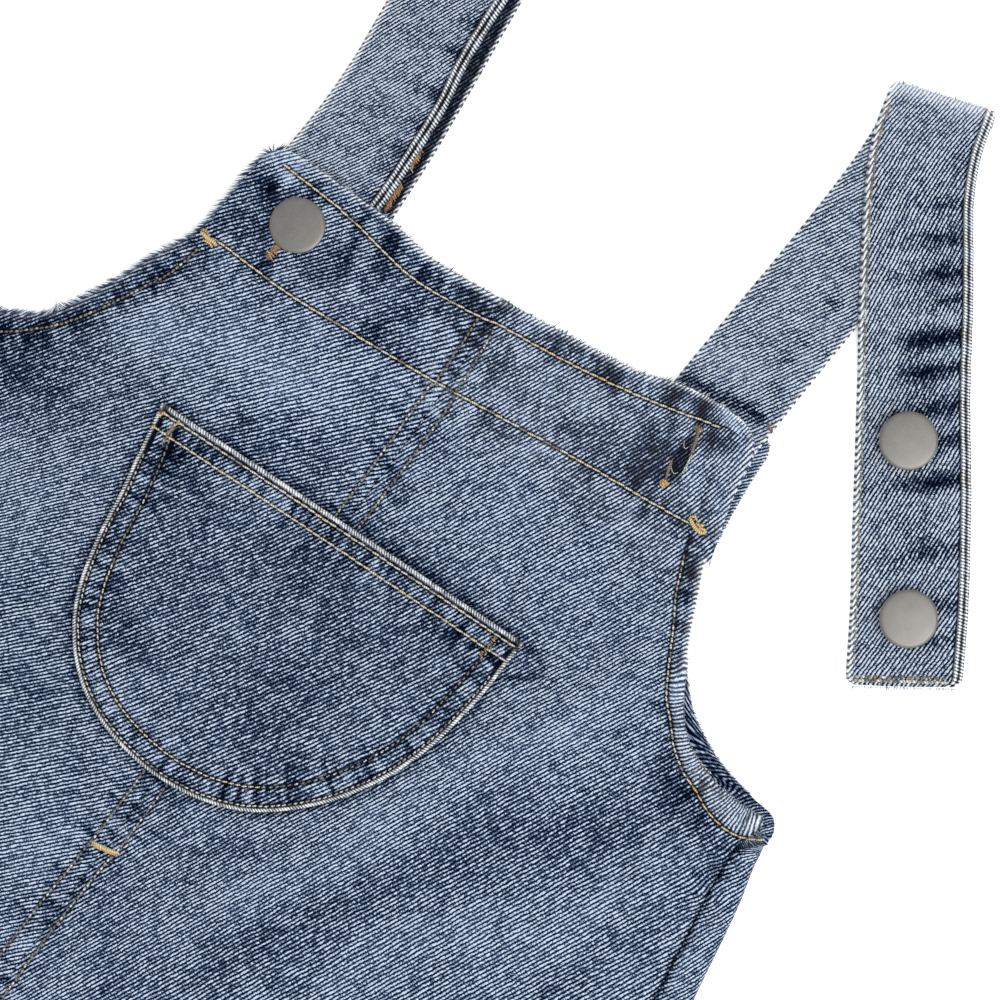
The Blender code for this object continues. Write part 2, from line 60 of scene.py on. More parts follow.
# ---------------------------------------------------------------- driving sizes
CLOTH = 1.0
DOUBLED = 2.0 * CLOTH
GAP = 0.3
FRONT_REST = 2.0 * CLOTH + GAP          # height of a front's face, lying on its back
BIB_CORNERS = {-1: 7.0, 1: 9.0}         # radius at each side
BACK_CORNER_RIGHT = 5.0
BUTTON_DIAMETER = 17.0
SIDE_FOLD_HEIGHT = 4.5      # of the right back, where it wraps round to the front
CENTRE_X = 1.93             # the row frame's origin, in the lay frame
ORIGIN_Y = -295.41
SIDES = {-1: "left", 1: "right"}
NOISE_SIZE = 64
NOISE = np.random.default_rng(11).uniform(-1.0, 1.0, (8, NOISE_SIZE, NOISE_SIZE))

TWILL_ANGLE = 59.5          # of the weave's slanting lines, from the weft
GRAIN_TILTS = {-1: -11.0, 1: 6.0}       # how far each front's grain leans from the middle seam
TWILL_PITCHES = {
    # side: places across the lines, and the distance between two lines there
    -1: [(-420.0, 1.08), (-112.0, 1.06), (-62.0, 1.02), (-30.0, 1.08), (0.0, 1.07), (16.0, 1.07),
         (45.0, 1.06)],
    1: [(-560.0, 1.12), (-170.0, 1.15), (-136.0, 1.14), (-119.0, 1.08), (-108.0, 1.01),
        (-89.0, 1.03), (-64.0, 1.08), (-33.0, 1.05), (40.0, 1.05)],
}
PLAIN_PITCH = 1.04          # between lines, on the backs
BEAD_PITCH = 0.95           # between the beads of a strap's selvedge
RIM_PITCH = 0.86            # between the dashes along the pocket's rim
STRIP_PITCH = 0.88          # between lines, on the strip beyond the right armhole
POCKET_PITCH = 1.10
KNOT_LENGTH = 1.35          # one dash of a slanting line
PUCKER_SIZE = 2.6           # a pucker beside a seam
PUCKER_REACH = 8.0
SEAM_FAR = 9.0              # seams further away than this don't change the cloth
GROOVE_FROM, GROOVE_TO = 0.44, 1.00     # from a row of stitches, its painted groove shade fades out here
BASE_VALUE = 0.385          # the wash before any tone is added
DENIM_COLOURS = [
    # value  red, green, blue
    (0.00, (0.0003, 0.0010, 0.0045)),
    (0.22, (0.0018, 0.0062, 0.0230)),
    (0.44, (0.0350, 0.0610, 0.1180)),
    (0.66, (0.1450, 0.2030, 0.3130)),
    (0.85, (0.3200, 0.3900, 0.5100)),
    (1.00, (0.5000, 0.5800, 0.7000)),
]
THREAD_COLOURS = [
    # tint  red, green, blue
    (0.00, (0.74, 0.73, 0.66)),
    (0.25, (0.74, 0.60, 0.32)),
    (0.50, (0.74, 0.45, 0.11)),
    (0.72, (0.46, 0.20, 0.05)),
    (0.85, (0.24, 0.17, 0.12)),
    (0.90, (0.13, 0.11, 0.08)),
    (1.00, (0.42, 0.41, 0.32)),
]
PEWTER_COLOURS = [(0.30, (0.150, 0.145, 0.134)), (0.70, (0.198, 0.191, 0.178))]
FRAY_COLOURS = [(0.0, (0.010, 0.022, 0.060)), (0.5, (0.16, 0.22, 0.34)), (1.0, (0.70, 0.73, 0.76))]
SHADER_INPUTS = {
    "colour": "Base Color", "normal": "Normal", "roughness": "Roughness", "metallic": "Metallic",
    "specular": "Specular IOR Level", "sheen": "Sheen Weight", "sheen_roughness": "Sheen Roughness",
    "glow_colour": "Emission Color", "glow": "Emission Strength",
}
STITCH = 3.1                # one topstitch with its gap
THREAD = 0.56               # thickness of the topstitching thread
RAY_FROM = 0.03             # metres above the ground, over all the cloth
ARM_WHITE = (6.0, 72.0)     # the right armhole's stitches are white from here to here, then gold
STRAP_ROW_INSET = 1.35      # the row along the right strap's left edge
STRAP_END_ROW_GAP = 3.2     # how much further in the rows across its end stop at the right
STRAP_PALER_FROM = 0.44     # share of its edge row where the thread turns paler
THREAD_SEEDS = {"front_left": 1, "front_right": 2, "back_right": 6, "pocket": 3, "strap_right": 4,
                "strap_left": 5}

# ------------------------------------------------- rows across the front panels
FRONT_ROWS = [
    # name      left x  left y  mid x   mid y  right x right y inseam  fold
    ("top",      -78.5,   -1.3,   0.7,    0.3,   84.0,   12.5,   0.0,  0.0),
    ("hem",      -79.7,  -17.0,   1.5,  -15.0,   86.6,   -2.5,   0.0,  0.0),
    ("band",     -81.0,  -35.0,   2.3,  -29.6,   91.4,  -18.5,   0.0,  0.0),
    ("arm1",     -87.0,  -48.5,   2.4,  -42.0,   96.0,  -31.5,   0.0,  0.0),
    ("arm2",     -93.6,  -64.5,   2.4,  -56.0,  103.5,  -47.5,   0.0,  0.0),
    ("arm3",    -101.3,  -79.0,   2.3,  -68.0,  112.0,  -62.3,   0.0,  0.0),
    ("arm4",    -110.0,  -86.0,   2.3,  -77.0,  120.0,  -70.0,   0.0,  0.0),
    ("arm5",    -121.0,  -91.0,   2.2,  -84.0,  131.0,  -74.4,   0.0,  0.0),
    ("arm6",    -136.0,  -94.3,   2.2,  -90.0,  142.5,  -75.2,   0.0,  0.0),
    ("underarm", -150.5, -96.0,   2.2,  -96.0,  150.3,  -75.6,   0.0,  3.0),
    ("side1",   -153.0, -105.0,   2.1, -104.0,  148.6,  -87.5,   0.0,  7.4),
    ("side2",   -156.3, -122.0,   2.0, -120.0,  149.8, -102.0,   0.0, 10.0),
    ("side3",   -161.3, -148.0,   2.0, -143.0,  154.8, -131.0,   0.0, 10.5),
    ("waist",   -170.5, -195.0,   2.0, -190.0,  163.5, -181.0,   0.0, 12.0),
    ("hip",     -179.0, -250.0,   2.0, -246.0,  172.0, -241.0,   0.0, 12.0),
    ("seat",    -184.0, -312.0,   2.0, -310.0,  178.0, -307.0,   0.0, 11.0),
    ("crotch",  -186.0, -374.0,   2.0, -374.0,  181.5, -374.0,   0.0,  8.5),
    ("thigh",   -185.5, -396.0,   2.0, -392.0,  181.5, -396.0,   6.0,  8.0),
    ("leg",     -184.0, -450.0,   2.0, -446.0,  181.0, -450.0,  13.0,  7.0),
    ("knee",    -180.5, -545.0,   2.0, -542.0,  178.5, -545.0,  18.0,  6.0),
    ("shin",    -177.0, -640.0,   2.0, -638.0,  176.0, -640.0,  22.0,  5.0),
    ("hem_leg", -174.5, -720.0,   2.0, -720.0,  174.5, -720.0,  25.0,  4.0),
]
ROW_NAMES = [row[0] for row in FRONT_ROWS]
FRONT_NUMBERS = np.array([row[1:] for row in FRONT_ROWS])
LEG_END_Y = -720.0
UNDERARM = ROW_NAMES.index("underarm")
HIP = ROW_NAMES.index("hip")

BACK_ROWS = {
    # name      left x  left y   mid y  right x right y
    "top":     (-77.0,   -8.0,  -16.0,   88.4,   14.4),
    "hem":     (-78.0,  -20.0,  -24.0,   89.2,    0.0),
    "band":    (-79.5,  -36.0,  -35.0,   91.6,  -18.0),
    "arm1":    (-86.0,  -49.5,  -44.0,   94.8,  -31.5),
    "arm2":    (-92.6,  -65.5,  -56.0,  102.6,  -48.2),
    "arm3":   (-100.8,  -80.2,  -68.0,  113.4,  -60.5),
    "arm4":   (-109.6,  -87.2,  -77.0,  122.2,  -66.0),
    "arm5":   (-120.8,  -92.2,  -84.0,  132.6,  -69.8),
    "arm6":   (-136.0,  -95.4,  -90.0,  144.0,  -71.8),
    "underarm": (-150.5, -96.6, -96.0,  153.2,  -74.0),
}

TOP_PLACES = (0.0, 0.006, 0.02, 0.045, 0.08)        # the closest rows, beside the top edge
FRONT_COLUMNS = {
    # side: shares of the width from, to and how many columns between them
    -1: [(0.0, 0.08, 11), (0.08, 0.88, 62), (0.88, 1.0, 19)],
    1: [(0.0, 0.08, 11), (0.08, 0.88, 62), (0.88, 1.0, 19), (0.76, 0.84, 17)],
}
BACK_COLUMNS = 40
STRIP_COLUMNS = 29          # where the right back comes round
BACK_LINES = 66.0           # the weave's lines on the back where it folds to the front
STRIP_LINES = [
    # row   their direction on the strip beyond the right armhole
    (0.0,   52.0),
    (2.0,   45.0),
    (3.0,   20.0),
    (4.2,  -25.0),
    (5.0,  -28.0),
    (6.0,  -12.0),
    (6.6,   11.0),
    (7.2,   23.0),
    (8.0,   28.0),
    (9.0,   50.0),
    (9.5,   66.0),
]

TOP_EDGE_REACH = 26.0       # down from the top, the panels' rows take after its uneven edge

LIFTS = [
    # lift           x from  x to   y from  y to   soft
    (DOUBLED + GAP,  -82.0, -36.0,  -93.0,  60.0, 30.0),   # strap behind the bib
    (DOUBLED + GAP,  -82.0, -36.0,  -29.0,  60.0, 24.0),   # its other, sewn end
    (DOUBLED + GAP,   50.0,  91.0,  -12.0,  60.0, 24.0),   # right strap's sewn end
    (CLOTH,         -100.0, 110.0,  -36.0,  60.0, 16.0),   # the bib's doubled hem
]
HIDDEN_BUTTON_LIFT = 4.3    # the front over the left strap's lower button
HIDDEN_BUTTON_REACH = 10.0
HIDDEN_BUTTON_SOFT = 32.0
SIDE_SOFT = 34.0            # over this width the right front rises to its side

# --------------------------------------------------------------- the two straps
STRAP_LEFT_UNDER = [
    # x       y      z    across  width
    (-53.6,  -26.0,  2.3,   5.0,  31.0),
    (-54.4,   -8.0,  2.3,   5.0,  31.0),
    (-55.2,    6.0,  2.0,   6.0,  31.0),
    (-56.4,   22.0,  1.0,   6.5,  31.0),
    (-59.0,   45.0,  1.0,   6.5,  31.0),
    (-62.4,   73.0,  1.0,   6.5,  31.0),
    (-65.2,   97.0,  1.0,   7.0,  30.5),
]
STRAP_LEFT_OVER = [
    (-65.6,   97.0,  3.6,   7.0,  30.5),
    (-65.0,   74.0,  3.3,   6.5,  29.5),
    (-62.9,   50.0,  3.3,   6.0,  28.6),
    (-60.6,   34.0,  3.4,   5.0,  29.6),
    (-59.5,   18.0,  4.2,   3.0,  30.2),
    (-59.3,    4.0,  4.6,   2.0,  31.4),
    (-59.9,   -8.0,  4.6,   0.0,  31.4),
    (-60.1,  -16.5,  4.6,   0.0,  31.4),
    (-60.0,  -31.0,  4.6,   0.0,  31.4),
    (-59.4,  -42.0,  3.4,   0.0,  31.4),
    (-58.8,  -54.0,  2.3,   0.0,  31.4),
    (-58.2,  -67.5,  2.3,   0.0,  31.4),
    (-57.6,  -87.0,  2.3,   0.0,  31.4),
]
STRAP_RIGHT_UNDER = [
    (69.0,    -9.0,  2.3,  -3.0,  30.5),
    (69.7,     8.0,  2.3,  -3.0,  30.5),
    (70.1,    19.0,  2.1,  -3.0,  30.5),
    (70.8,    34.0,  1.0,  -3.0,  30.2),
    (72.0,    58.0,  1.0,  -2.0,  29.8),
    (72.8,    84.0,  1.0,   0.0,  29.4),
    (72.2,   104.0,  1.0,   9.0,  29.4),
    (69.6,   121.0,  1.0,  19.0,  30.0),
]
STRAP_RIGHT_OVER = [
    (68.6,   121.5,  3.6,  20.0,  30.6),
    (72.4,   109.2,  3.6,  21.5,  30.9),
    (79.2,    96.3,  3.4,  26.0,  31.0),
    (88.6,    82.7,  3.3,  32.0,  31.6),
    (99.5,    67.0,  3.3,  36.0,  32.2),
    (107.8,   55.4,  2.3,  36.5,  31.8),
    (116.0,   44.2,  1.0,  36.5,  32.2),
    (126.3,   30.0,  1.0,  36.5,  33.0),
    (135.2,   17.4,  1.0,  36.5,  33.4),
    (147.6,   -0.4,  1.0,  36.0,  33.4),
    (159.8,  -19.6,  1.0,  35.0,  33.0),
]
FOLD_STEPS = 14             # round a strap's fold at the shoulder
STRAP_STEP = 1.1            # between its rows
STRAP_END_CORNER = 3.0
STRAP_COLUMNS = (0.0, 0.2, 0.45, 0.75, 1.05, 1.35, 1.65, 1.95, 2.3, 2.7, 3.1, 3.6, 4.3, 5.2)    # from an edge
STRAP_LEFT_BARS = [
    # start         end            width
    ((-44.4, 21.4), (-43.6, 15.2), 2.2),
    ((-42.8, 10.0), (-42.6, 4.4), 2.0),
    ((-42.4, 3.8), (-42.2, 0.8), 1.6),
]

STRAP_LOOKS = {
    # weave: lines' angle and pitch on the lower run, then at the start and the end of the upper
    # run; ropes and grooves: distance in from the right edge and width
    # the lower run's tone and edge darkness are painted shade where the upper run shades it; its strokes are
    # a painted shadow at the bib's edge and painted light and shade on its dimples and curl
    "left": {
        "weave": (63.0, 0.95, 61.0, 61.0, 0.88, 0.90),
        "ropes": [(0.45, 0.36), (2.25, 0.42)],
        "grooves": [(1.32, 0.42), (3.10, 0.34)],
        "reach": (4.0, 12.0),
        "wrinkles": [
            (-58.7, 58.3, 1.2), (-56.5, 48.7, 1.4), (-56.0, 35.8, 1.2), (-54.5, 26.1, 1.1),
            (-54.2, 16.9, 0.9), (-55.1, 9.9, 1.0), (-56.0, 1.0, 0.7)],
        "over_strokes": [(-0.3, 12.0, [(-50, 70), (-50, 20)])],
        "under_tone": -1.5,
        "under_light_and_shade": [],
        "edge_dark": 0.84,
        "beads": (-1.0, 2.8),
    },
    "right": {
        "weave": (64.0, 0.99, 67.0, 56.0, 0.97, 1.12),
        "ropes": [(0.35, 0.38), (1.95, 0.50)],
        "grooves": [(1.10, 0.36), (2.85, 0.34)],
        "reach": (-8.0, 8.0),
        "wrinkles": [
            (86.6, 98.5, 0.6), (94.2, 92.6, 0.9), (99.5, 83.6, 1.1), (103.1, 76.3, 0.9),
            (107.9, 67.3, 1.9), (114.6, 60.7, 1.2), (121.1, 51.9, 1.1), (127.2, 43.5, 0.9),
            (131.1, 31.1, 1.6), (144.8, 17.7, 0.8), (152.9, 4.6, 0.8), (154.3, -9.3, 0.7)],
        "over_strokes": [
            (-1.0, 6.0, [(102, 62), (112, 54)]),
            (-0.5, 5.0, [(94, 86), (104, 78)]),
            (-0.7, 3.5, [(80.5, 112), (84.5, 110)]),
            (-0.5, 7.0, [(130, 20), (136, 12)]),
            (-0.4, 5.0, [(150, -6), (158, -10)]),
            (-0.60, 9.0, [(84, 100), (98, 80)]),
            (-0.60, 11.0, [(112, 54), (150, 2)]),
        ],
        "under_tone": 0.02,
        "under_light_and_shade": [
            (-2.6, 2.5, [(50, 14), (54, 13.9), (66, 15.3), (73, 17.0), (80, 17.4)]),
            (0.5, 4.0, [(56, 24), (66, 25), (74, 24)]),
            (-1.7, 1.9, [(77.4, 56.5), (78.4, 56.8)]),
            (-1.6, 1.9, [(76.2, 43.0), (77.4, 42.8)]),
            (-1.5, 1.8, [(76.0, 35.8), (77.2, 35.6)]),
            (-1.4, 1.8, [(78.2, 27.4), (79.2, 26.6)]),
            (0.8, 2.2, [(80.0, 50.5), (82.5, 49.0)]),
            (0.8, 2.2, [(80.0, 39.5), (82.5, 38.8)]),
            (0.7, 2.0, [(80.5, 31.5), (83.0, 31.0)]),
        ],
        "edge_dark": 0.0,
        "beads": (-1.0, 2.6),
    },
}

BUTTON_PLACES = {
    # name                 x      y     z of the strap's middle
    "button_left_upper":  (-60.1, -16.5, 4.6),
    "button_left_lower":  (-58.2, -67.5, 2.3),
    "button_right_upper": (118.4,  37.5, 1.0),
    "button_right_lower": (148.6,  -3.3, 1.0),
}

BUTTON_SHIFTS = {            # a fastened button leans a little
    "button_left_upper": (0.8, -0.9),
    "button_right_lower": (0.3, -0.4),
}
BUTTON_SIZES = {"button_left_upper": 0.95}      # leaning, it shows a little narrower
BUTTON_STEPS = 72
CAP_CROWN = 1.50            # the middle of a button's cap, over the cloth
CAP_PROFILE = [
    # share of the radius, height over the cloth
    (0.30, 1.48), (0.60, 1.40), (0.80, 1.30), (0.90, 1.22), (0.940, 1.16), (0.955, 1.06),
    (0.970, 1.04), (0.985, 0.96), (1.00, 0.75), (0.99, 0.40), (0.95, 0.12), (0.88, 0.02),
]

# ------------------------------------------------------------- the chest pocket
POCKET_TOP_LEFT = (-59.7, -81.2)
POCKET_TOP_RIGHT = (63.9, -75.4)
POCKET_MIDDLE = (2.4, -90.0)
POCKET_FAR_ENDS = [(-53.2, -84.3), (57.6, -79.4)]       # where its inner row of stitches starts
POCKET_SIDE_ROWS = (1.5, 7.0)       # the rows of stitches, in from its curve
POCKET_TOP_ROWS = (2.1, 7.0)        # and down from its top
POCKET_RINGS = (0.35, 0.75, 1.2, 1.7, 2.3, 3.0, 3.8, 4.7, 5.6, 6.3, 6.9, 7.5, 8.2)     # of its mesh
POCKET_CURVE = [
    # angle  distance
    (186.0, 59.8),
    (199.0, 60.4),
    (214.0, 65.6),
    (229.0, 72.8),
    (244.0, 77.8),
    (259.0, 79.0),
    (274.0, 78.5),
    (289.0, 76.4),
    (304.0, 71.8),
    (319.0, 67.2),
    (334.0, 63.6),
    (349.0, 61.2),
    (364.0, 61.2),
]

POCKET_STROKES = [
    # tone  spread  points
    (-1.2, 4.5, [(-52, -89), (-49, -94)]),
    (-0.35, 9.0, [(-44, -84), (-40, -92)]),
    (-0.7, 4.5, [(-42, -134), (-27, -142)]),
    (-0.35, 10.0, [(-10, -96), (24, -98)]),
    (-0.4, 9.0, [(8, -128), (20, -122)]),
    (-0.7, 4.0, [(42, -87), (54, -84)]),
    (-0.7, 3.0, [(61, -82), (63, -79)]),
    (0.5, 7.0, [(-20, -152), (4, -162)]),
    (-0.5, 8.0, [(-46, -92), (-34, -96)]),
]
POCKET_FAR_PARTS = [
    # from   to    tint  cover
    (0.0, 0.20, 0.93, 0.80),
    (0.20, 0.62, 0.14, 0.86),
    (0.62, 1.0, 0.96, 0.60),
]
POCKET_BARS = [
    # start         end             tint
    ((-52.9, -82.6), (-53.3, -84.2), 0.45),
    ((-53.4, -85.0), (-53.2, -90.6), 0.84),
    ((-57.6, -83.0), (-58.2, -84.4), 0.40),
    ((-57.5, -88.2), (-58.3, -88.6), 0.45),
    ((56.4, -78.6), (56.8, -79.8), 0.70),
    ((56.6, -80.4), (56.4, -83.4), 0.82),
    ((56.0, -84.2), (56.2, -85.2), 0.70),
]

# ------------------------------------------------------------------------ seams
LEG_HEM_Y = LEG_END_Y + 16.0
ARM_FADE_IN = 6.0           # over this length the armhole's hem begins
BIB_HEM = (-32.0, 30.0, 6.0)        # y from, y to, soft
KNOB = (150.0, -78.2)       # where the right armhole's hem ends, with a hole in it
KNOB_HOLE = (150.6, -79.6)
SLIT_LENGTH = 16.3          # the right buttonhole, as it gapes
SLIT_WIDTH = 2.2            # at either side of its line
SEAMS = {
    # name: the points that a seam, an edge or a crease runs through
    "top_edge": [(-78.5, -1.3), (-51.5, -0.6), (-37.7, -0.4), (-23.6, -2.3), (0.7, 0.4), (44.9, 7.1),
        (55.3, 11.3), (64.1, 13.2), (84.0, 14.2)],
    "corner_ridge": [(60.0, 12.6), (66.9, 13.7), (72.0, 14.4), (76.3, 14.2), (80.4, 12.4), (82.9, 9.8),
        (84.0, 6.0), (85.2, 1.0), (86.8, -3.5), (89.0, -11.0), (91.4, -18.5)],
    "corner_crease": [(77.2, -1.2), (79.3, -6.5), (81.6, -12.0), (83.4, -16.4)],
    "band_upper": [(-73.2, -5.7), (-49.7, -6.6), (-24.6, -9.7), (-2.5, -7.1), (4.1, -5.6), (22.9, -3.1),
        (47.9, 1.6), (72.6, 8.4)],
    "band_lower": [(-77.6, -35.4), (-73.6, -34.6), (-50.6, -34.7), (-26.1, -32.5), (-0.6, -29.7),
        (19.9, -26.9), (44.8, -23.5), (68.1, -20.9), (84.5, -18.8)],
    "arm_edge_left": [(-81.0, -35.0), (-84.6, -43.0), (-88.8, -52.7), (-94.9, -67.5), (-101.3, -79.0),
        (-110.0, -86.0), (-121.0, -91.0), (-136.0, -94.3), (-150.5, -96.0)],
    "arm_stitch_left": [(-78.2, -39.6), (-80.9, -50.5), (-85.2, -59.1), (-89.6, -67.7), (-97.2, -79.8),
        (-104.0, -87.0), (-110.6, -92.6), (-121.0, -97.8), (-136.0, -101.6), (-150.0, -103.2)],
    "arm_edge_right": [(93.0, -25.8), (97.1, -34.2), (99.9, -40.5), (104.3, -48.9), (108.8, -57.3),
        (114.7, -65.7), (118.7, -69.1), (126.0, -72.9), (132.8, -74.7), (138.9, -75.2), (151.5, -75.6)],
    "arm_stitch_right": [(84.6, -21.0), (85.4, -25.3), (88.2, -31.6), (91.4, -38.4), (96.1, -45.8),
        (100.8, -54.1), (106.2, -62.8), (111.4, -68.0), (117.0, -73.6), (123.1, -77.6), (129.4, -80.0),
        (136.7, -82.9), (143.9, -83.6), (149.6, -82.1), (154.1, -79.4)],
    "roll_parting": [(128.6, -75.0), (129.6, -77.6), (131.6, -79.9), (134.2, -81.2)],
    "back_row": [(117.4, -69.2), (121.6, -71.2), (125.6, -72.6), (130.4, -73.6)],
    "middle_seam": [(0.7, 0.0), (2.3, -29.6), (2.3, -68.0), (2.0, -374.0)],
    "seam_left_row": [(-2.1, -7.6), (-1.0, -29.8), (-1.7, -33.0), (-1.3, -69.0), (-1.9, -173.0),
        (-2.3, -198.0), (-3.8, -237.0), (-2.6, -300.0), (-1.8, -368.0)],
    "seam_right_row": [(3.6, -7.8), (5.5, -28.0), (6.4, -45.0), (5.7, -120.0), (5.7, -191.0),
        (5.0, -197.0), (4.0, -231.0), (5.2, -300.0), (5.8, -368.0)],
    "knob_slit": [(145.2, -77.4), (146.6, -80.6)],
    "under_tack_right": [(80.6, -17.0), (84.3, -18.9), (88.0, -18.7)],
    "under_tack_middle": [(-1.9, -195.6), (2.4, -194.9), (6.4, -193.9)],
    "hole_right": [(66.8, 3.0), (68.9, -5.5), (70.4, -12.6)],
    "hem_leg": [(-190.0, LEG_HEM_Y), (0.0, LEG_HEM_Y), (190.0, LEG_HEM_Y)],
}
SEAM_LOOKS = {
    # seam           puckers' size, reach, layer  lift  groove's depth, width  painted light and shade on the puckers
    "band_upper": (4.8, 8.0, 4, 0.60, 0.40, 1.0, 0.00),
    "band_lower": (5.4, 9.0, 5, 0.50, 0.45, 1.1, 0.55),
    "seam_left_row": (4.6, 4.5, 6, 0.40, 0.25, 1.0, 0.50),
    "seam_right_row": (4.6, 4.5, 6, 0.40, 0.25, 1.0, 0.50),
    "arm_stitch_left": (5.0, 7.0, 7, 0.40, 0.40, 1.0, 0.55),
    "arm_stitch_right": (5.0, 7.0, 7, 0.40, 0.40, 1.0, 0.55),
}
BAND_STITCHES = [
    # seam, x where the fronts meet, tint on the left and on the right, cover, thread
    ("band_lower", 2.2, 0.12, 0.12, 0.98, 0.64),
    ("band_upper", 0.9, 0.13, 0.18, 0.97, 0.62),
]
HOLE_STRANDS = [
    # points                                           thickness tint
    ([(67.6, 5.0), (69.0, 1.8), (70.4, -3.0)],             0.80, 0.86),
    ([(70.6, -3.2), (71.4, -6.6), (71.6, -9.4)],           0.45, 0.02),
    ([(66.9, -7.0), (67.6, -9.8), (68.8, -13.0)],          0.70, 0.84),
    ([(66.4, -0.6), (68.0, -2.8), (68.6, -1.4)],           0.26, 0.00),
    ([(68.0, -9.0), (69.6, -10.4), (70.6, -9.2)],          0.26, 0.00),
]
HOLE_BARS = [
    # start         end            width tint
    ((68.0, 4.6),  (70.2, -2.2),   1.00, 0.84),
    ((71.0, -3.4), (71.7, -8.2),   0.50, 0.02),
    ((67.2, -7.6), (68.6, -12.2),  0.80, 0.86),
]
TACK_RIGHT = [
    # points                                                            thickness tint  lift
    ([(80.9, -17.6), (82.8, -18.7), (84.9, -19.3), (86.8, -19.0), (87.0, -17.8)], 1.35, 0.34, 0.35),
    ([(80.9, -17.4), (82.0, -16.6), (83.2, -17.2)], 0.80, 0.40, 0.60),
    ([(83.5, -17.9), (84.9, -17.9), (85.5, -16.9)], 0.95, 0.44, 0.75),
    ([(84.7, -18.8), (86.2, -18.0), (87.2, -18.8)], 0.80, 0.30, 0.90),
]
TACK_MIDDLE = [
    # points, thickness, tint, lift
    ([(-1.9, -195.4), (2.4, -194.6), (6.4, -193.6)], 1.10, 0.26, 0.45),
    ([(-1.7, -196.1), (2.2, -195.4), (6.2, -194.4)], 0.80, 0.50, 0.35),
    ([(-1.2, -195.0), (2.6, -194.9), (6.0, -193.3)], 0.60, 0.12, 1.00),
]
TACK_LEFT = [
    # points, thickness, tint, lift
    ([(-80.4, -35.2), (-78.2, -35.6), (-75.6, -35.5), (-74.6, -35.8)], 1.30, 0.36, 0.40),
    ([(-80.6, -34.6), (-79.4, -34.2), (-78.4, -34.6)], 0.85, 0.66, 0.70),
    ([(-78.6, -36.8), (-76.6, -36.4), (-75.2, -37.0)], 0.75, 0.42, 0.60),
]

# --------------------------------------------- worn cloth, painted light and shade, and creases
# Each stroke runs through its points and fades out over "spread".  Tone stands for faded and
# dark cloth and also for painted light and shade: above nothing for faded cloth and for the painted
# highlights of creases and of the bump over the hidden button, below for dark cloth and for the
# painted shade beside creases, above the pocket, along the armholes and in the bib's left corner.
WEAR_AND_SHADE_STROKES = [
    # tone  spread  points
    (0.85,  8.5, [(-76, -67), (-58, -57), (-38, -51)]),
    (0.80,  7.0, [(-36, -56), (-22, -52)]),
    (0.30, 13.0, [(22, -50), (50, -48), (70, -42)]),
    (0.45,  5.5, [(74, -25), (82, -31)]),
    (-1.15, 13.0, [(-118, -102), (-97, -97)]),
    (-1.10, 5.0, [(-100, -83), (-88, -66), (-80, -46)]),
    (-2.60, 4.0, [(-77, -12.6), (-72.4, -14.2)]),
    (0.90,  4.0, [(-81, -6.5), (-74.5, -2.0)]),
    (-0.65, 10.0, [(-60, -20), (-20, -20)]),
    (0.30,  6.0, [(72, -14), (80, -6), (79, 3)]),
    (-1.20, 2.2, [(63, 9.5), (66.5, 9.2)]),
    (-0.35, 4.0, [(56, -2), (62, -8), (62, -14)]),
    (-0.20, 5.0, [(76, 4), (82, -8)]),
    (0.80,  4.0, [(-3, -2), (4, -5)]),
    (0.80,  2.2, [(72, -3), (74, -9)]),
    (-1.50, 1.7, [(90.2, -28.6), (91.2, -30.6)]),
    (-1.50, 1.7, [(94.0, -35.0), (94.8, -37.0)]),
    (-1.30, 1.5, [(99.0, -43.6), (99.8, -45.4)]),
    (-1.20, 1.4, [(102.2, -51.6), (103.2, -53.2)]),
    (-0.90, 3.6, [(-75, -29), (-70, -30)]),
    (-0.60, 5.0, [(-40, -74), (-14, -71)]),
    (-0.30, 4.0, [(20, -74), (40, -73)]),
    (0.40,  4.0, [(-60, -40), (-20, -38), (30, -31), (76, -26)]),
    (0.55,  6.0, [(40, -182), (54, -166), (60, -150), (64, -132), (74, -110), (88, -88),
                  (97, -68)]),
    (-0.55, 8.5, [(50, -198), (76, -152), (94, -127), (114, -104), (126, -90)]),
    (-1.10, 4.5, [(120, -82), (134, -86)]),
    (0.50,  7.0, [(134, -98), (120, -134), (92, -158), (78, -182)]),
    (-0.60, 7.0, [(130, -150), (136, -162)]),
    (-0.40, 11.0, [(26, -224), (44, -212)]),
    (0.50,  7.0, [(-14, -208), (-9, -198)]),
    (-0.45, 6.0, [(20, -184), (34, -172)]),
    (-0.35, 16.0, [(-72, -162), (-46, -146)]),
    (0.45, 26.0, [(-100, -420), (-96, -520)]),
    (0.45, 26.0, [(96, -420), (92, -520)]),
    (-0.40, 16.0, [(-30, -400), (-60, -370)]),
    (-0.40, 16.0, [(34, -402), (64, -372)]),
]
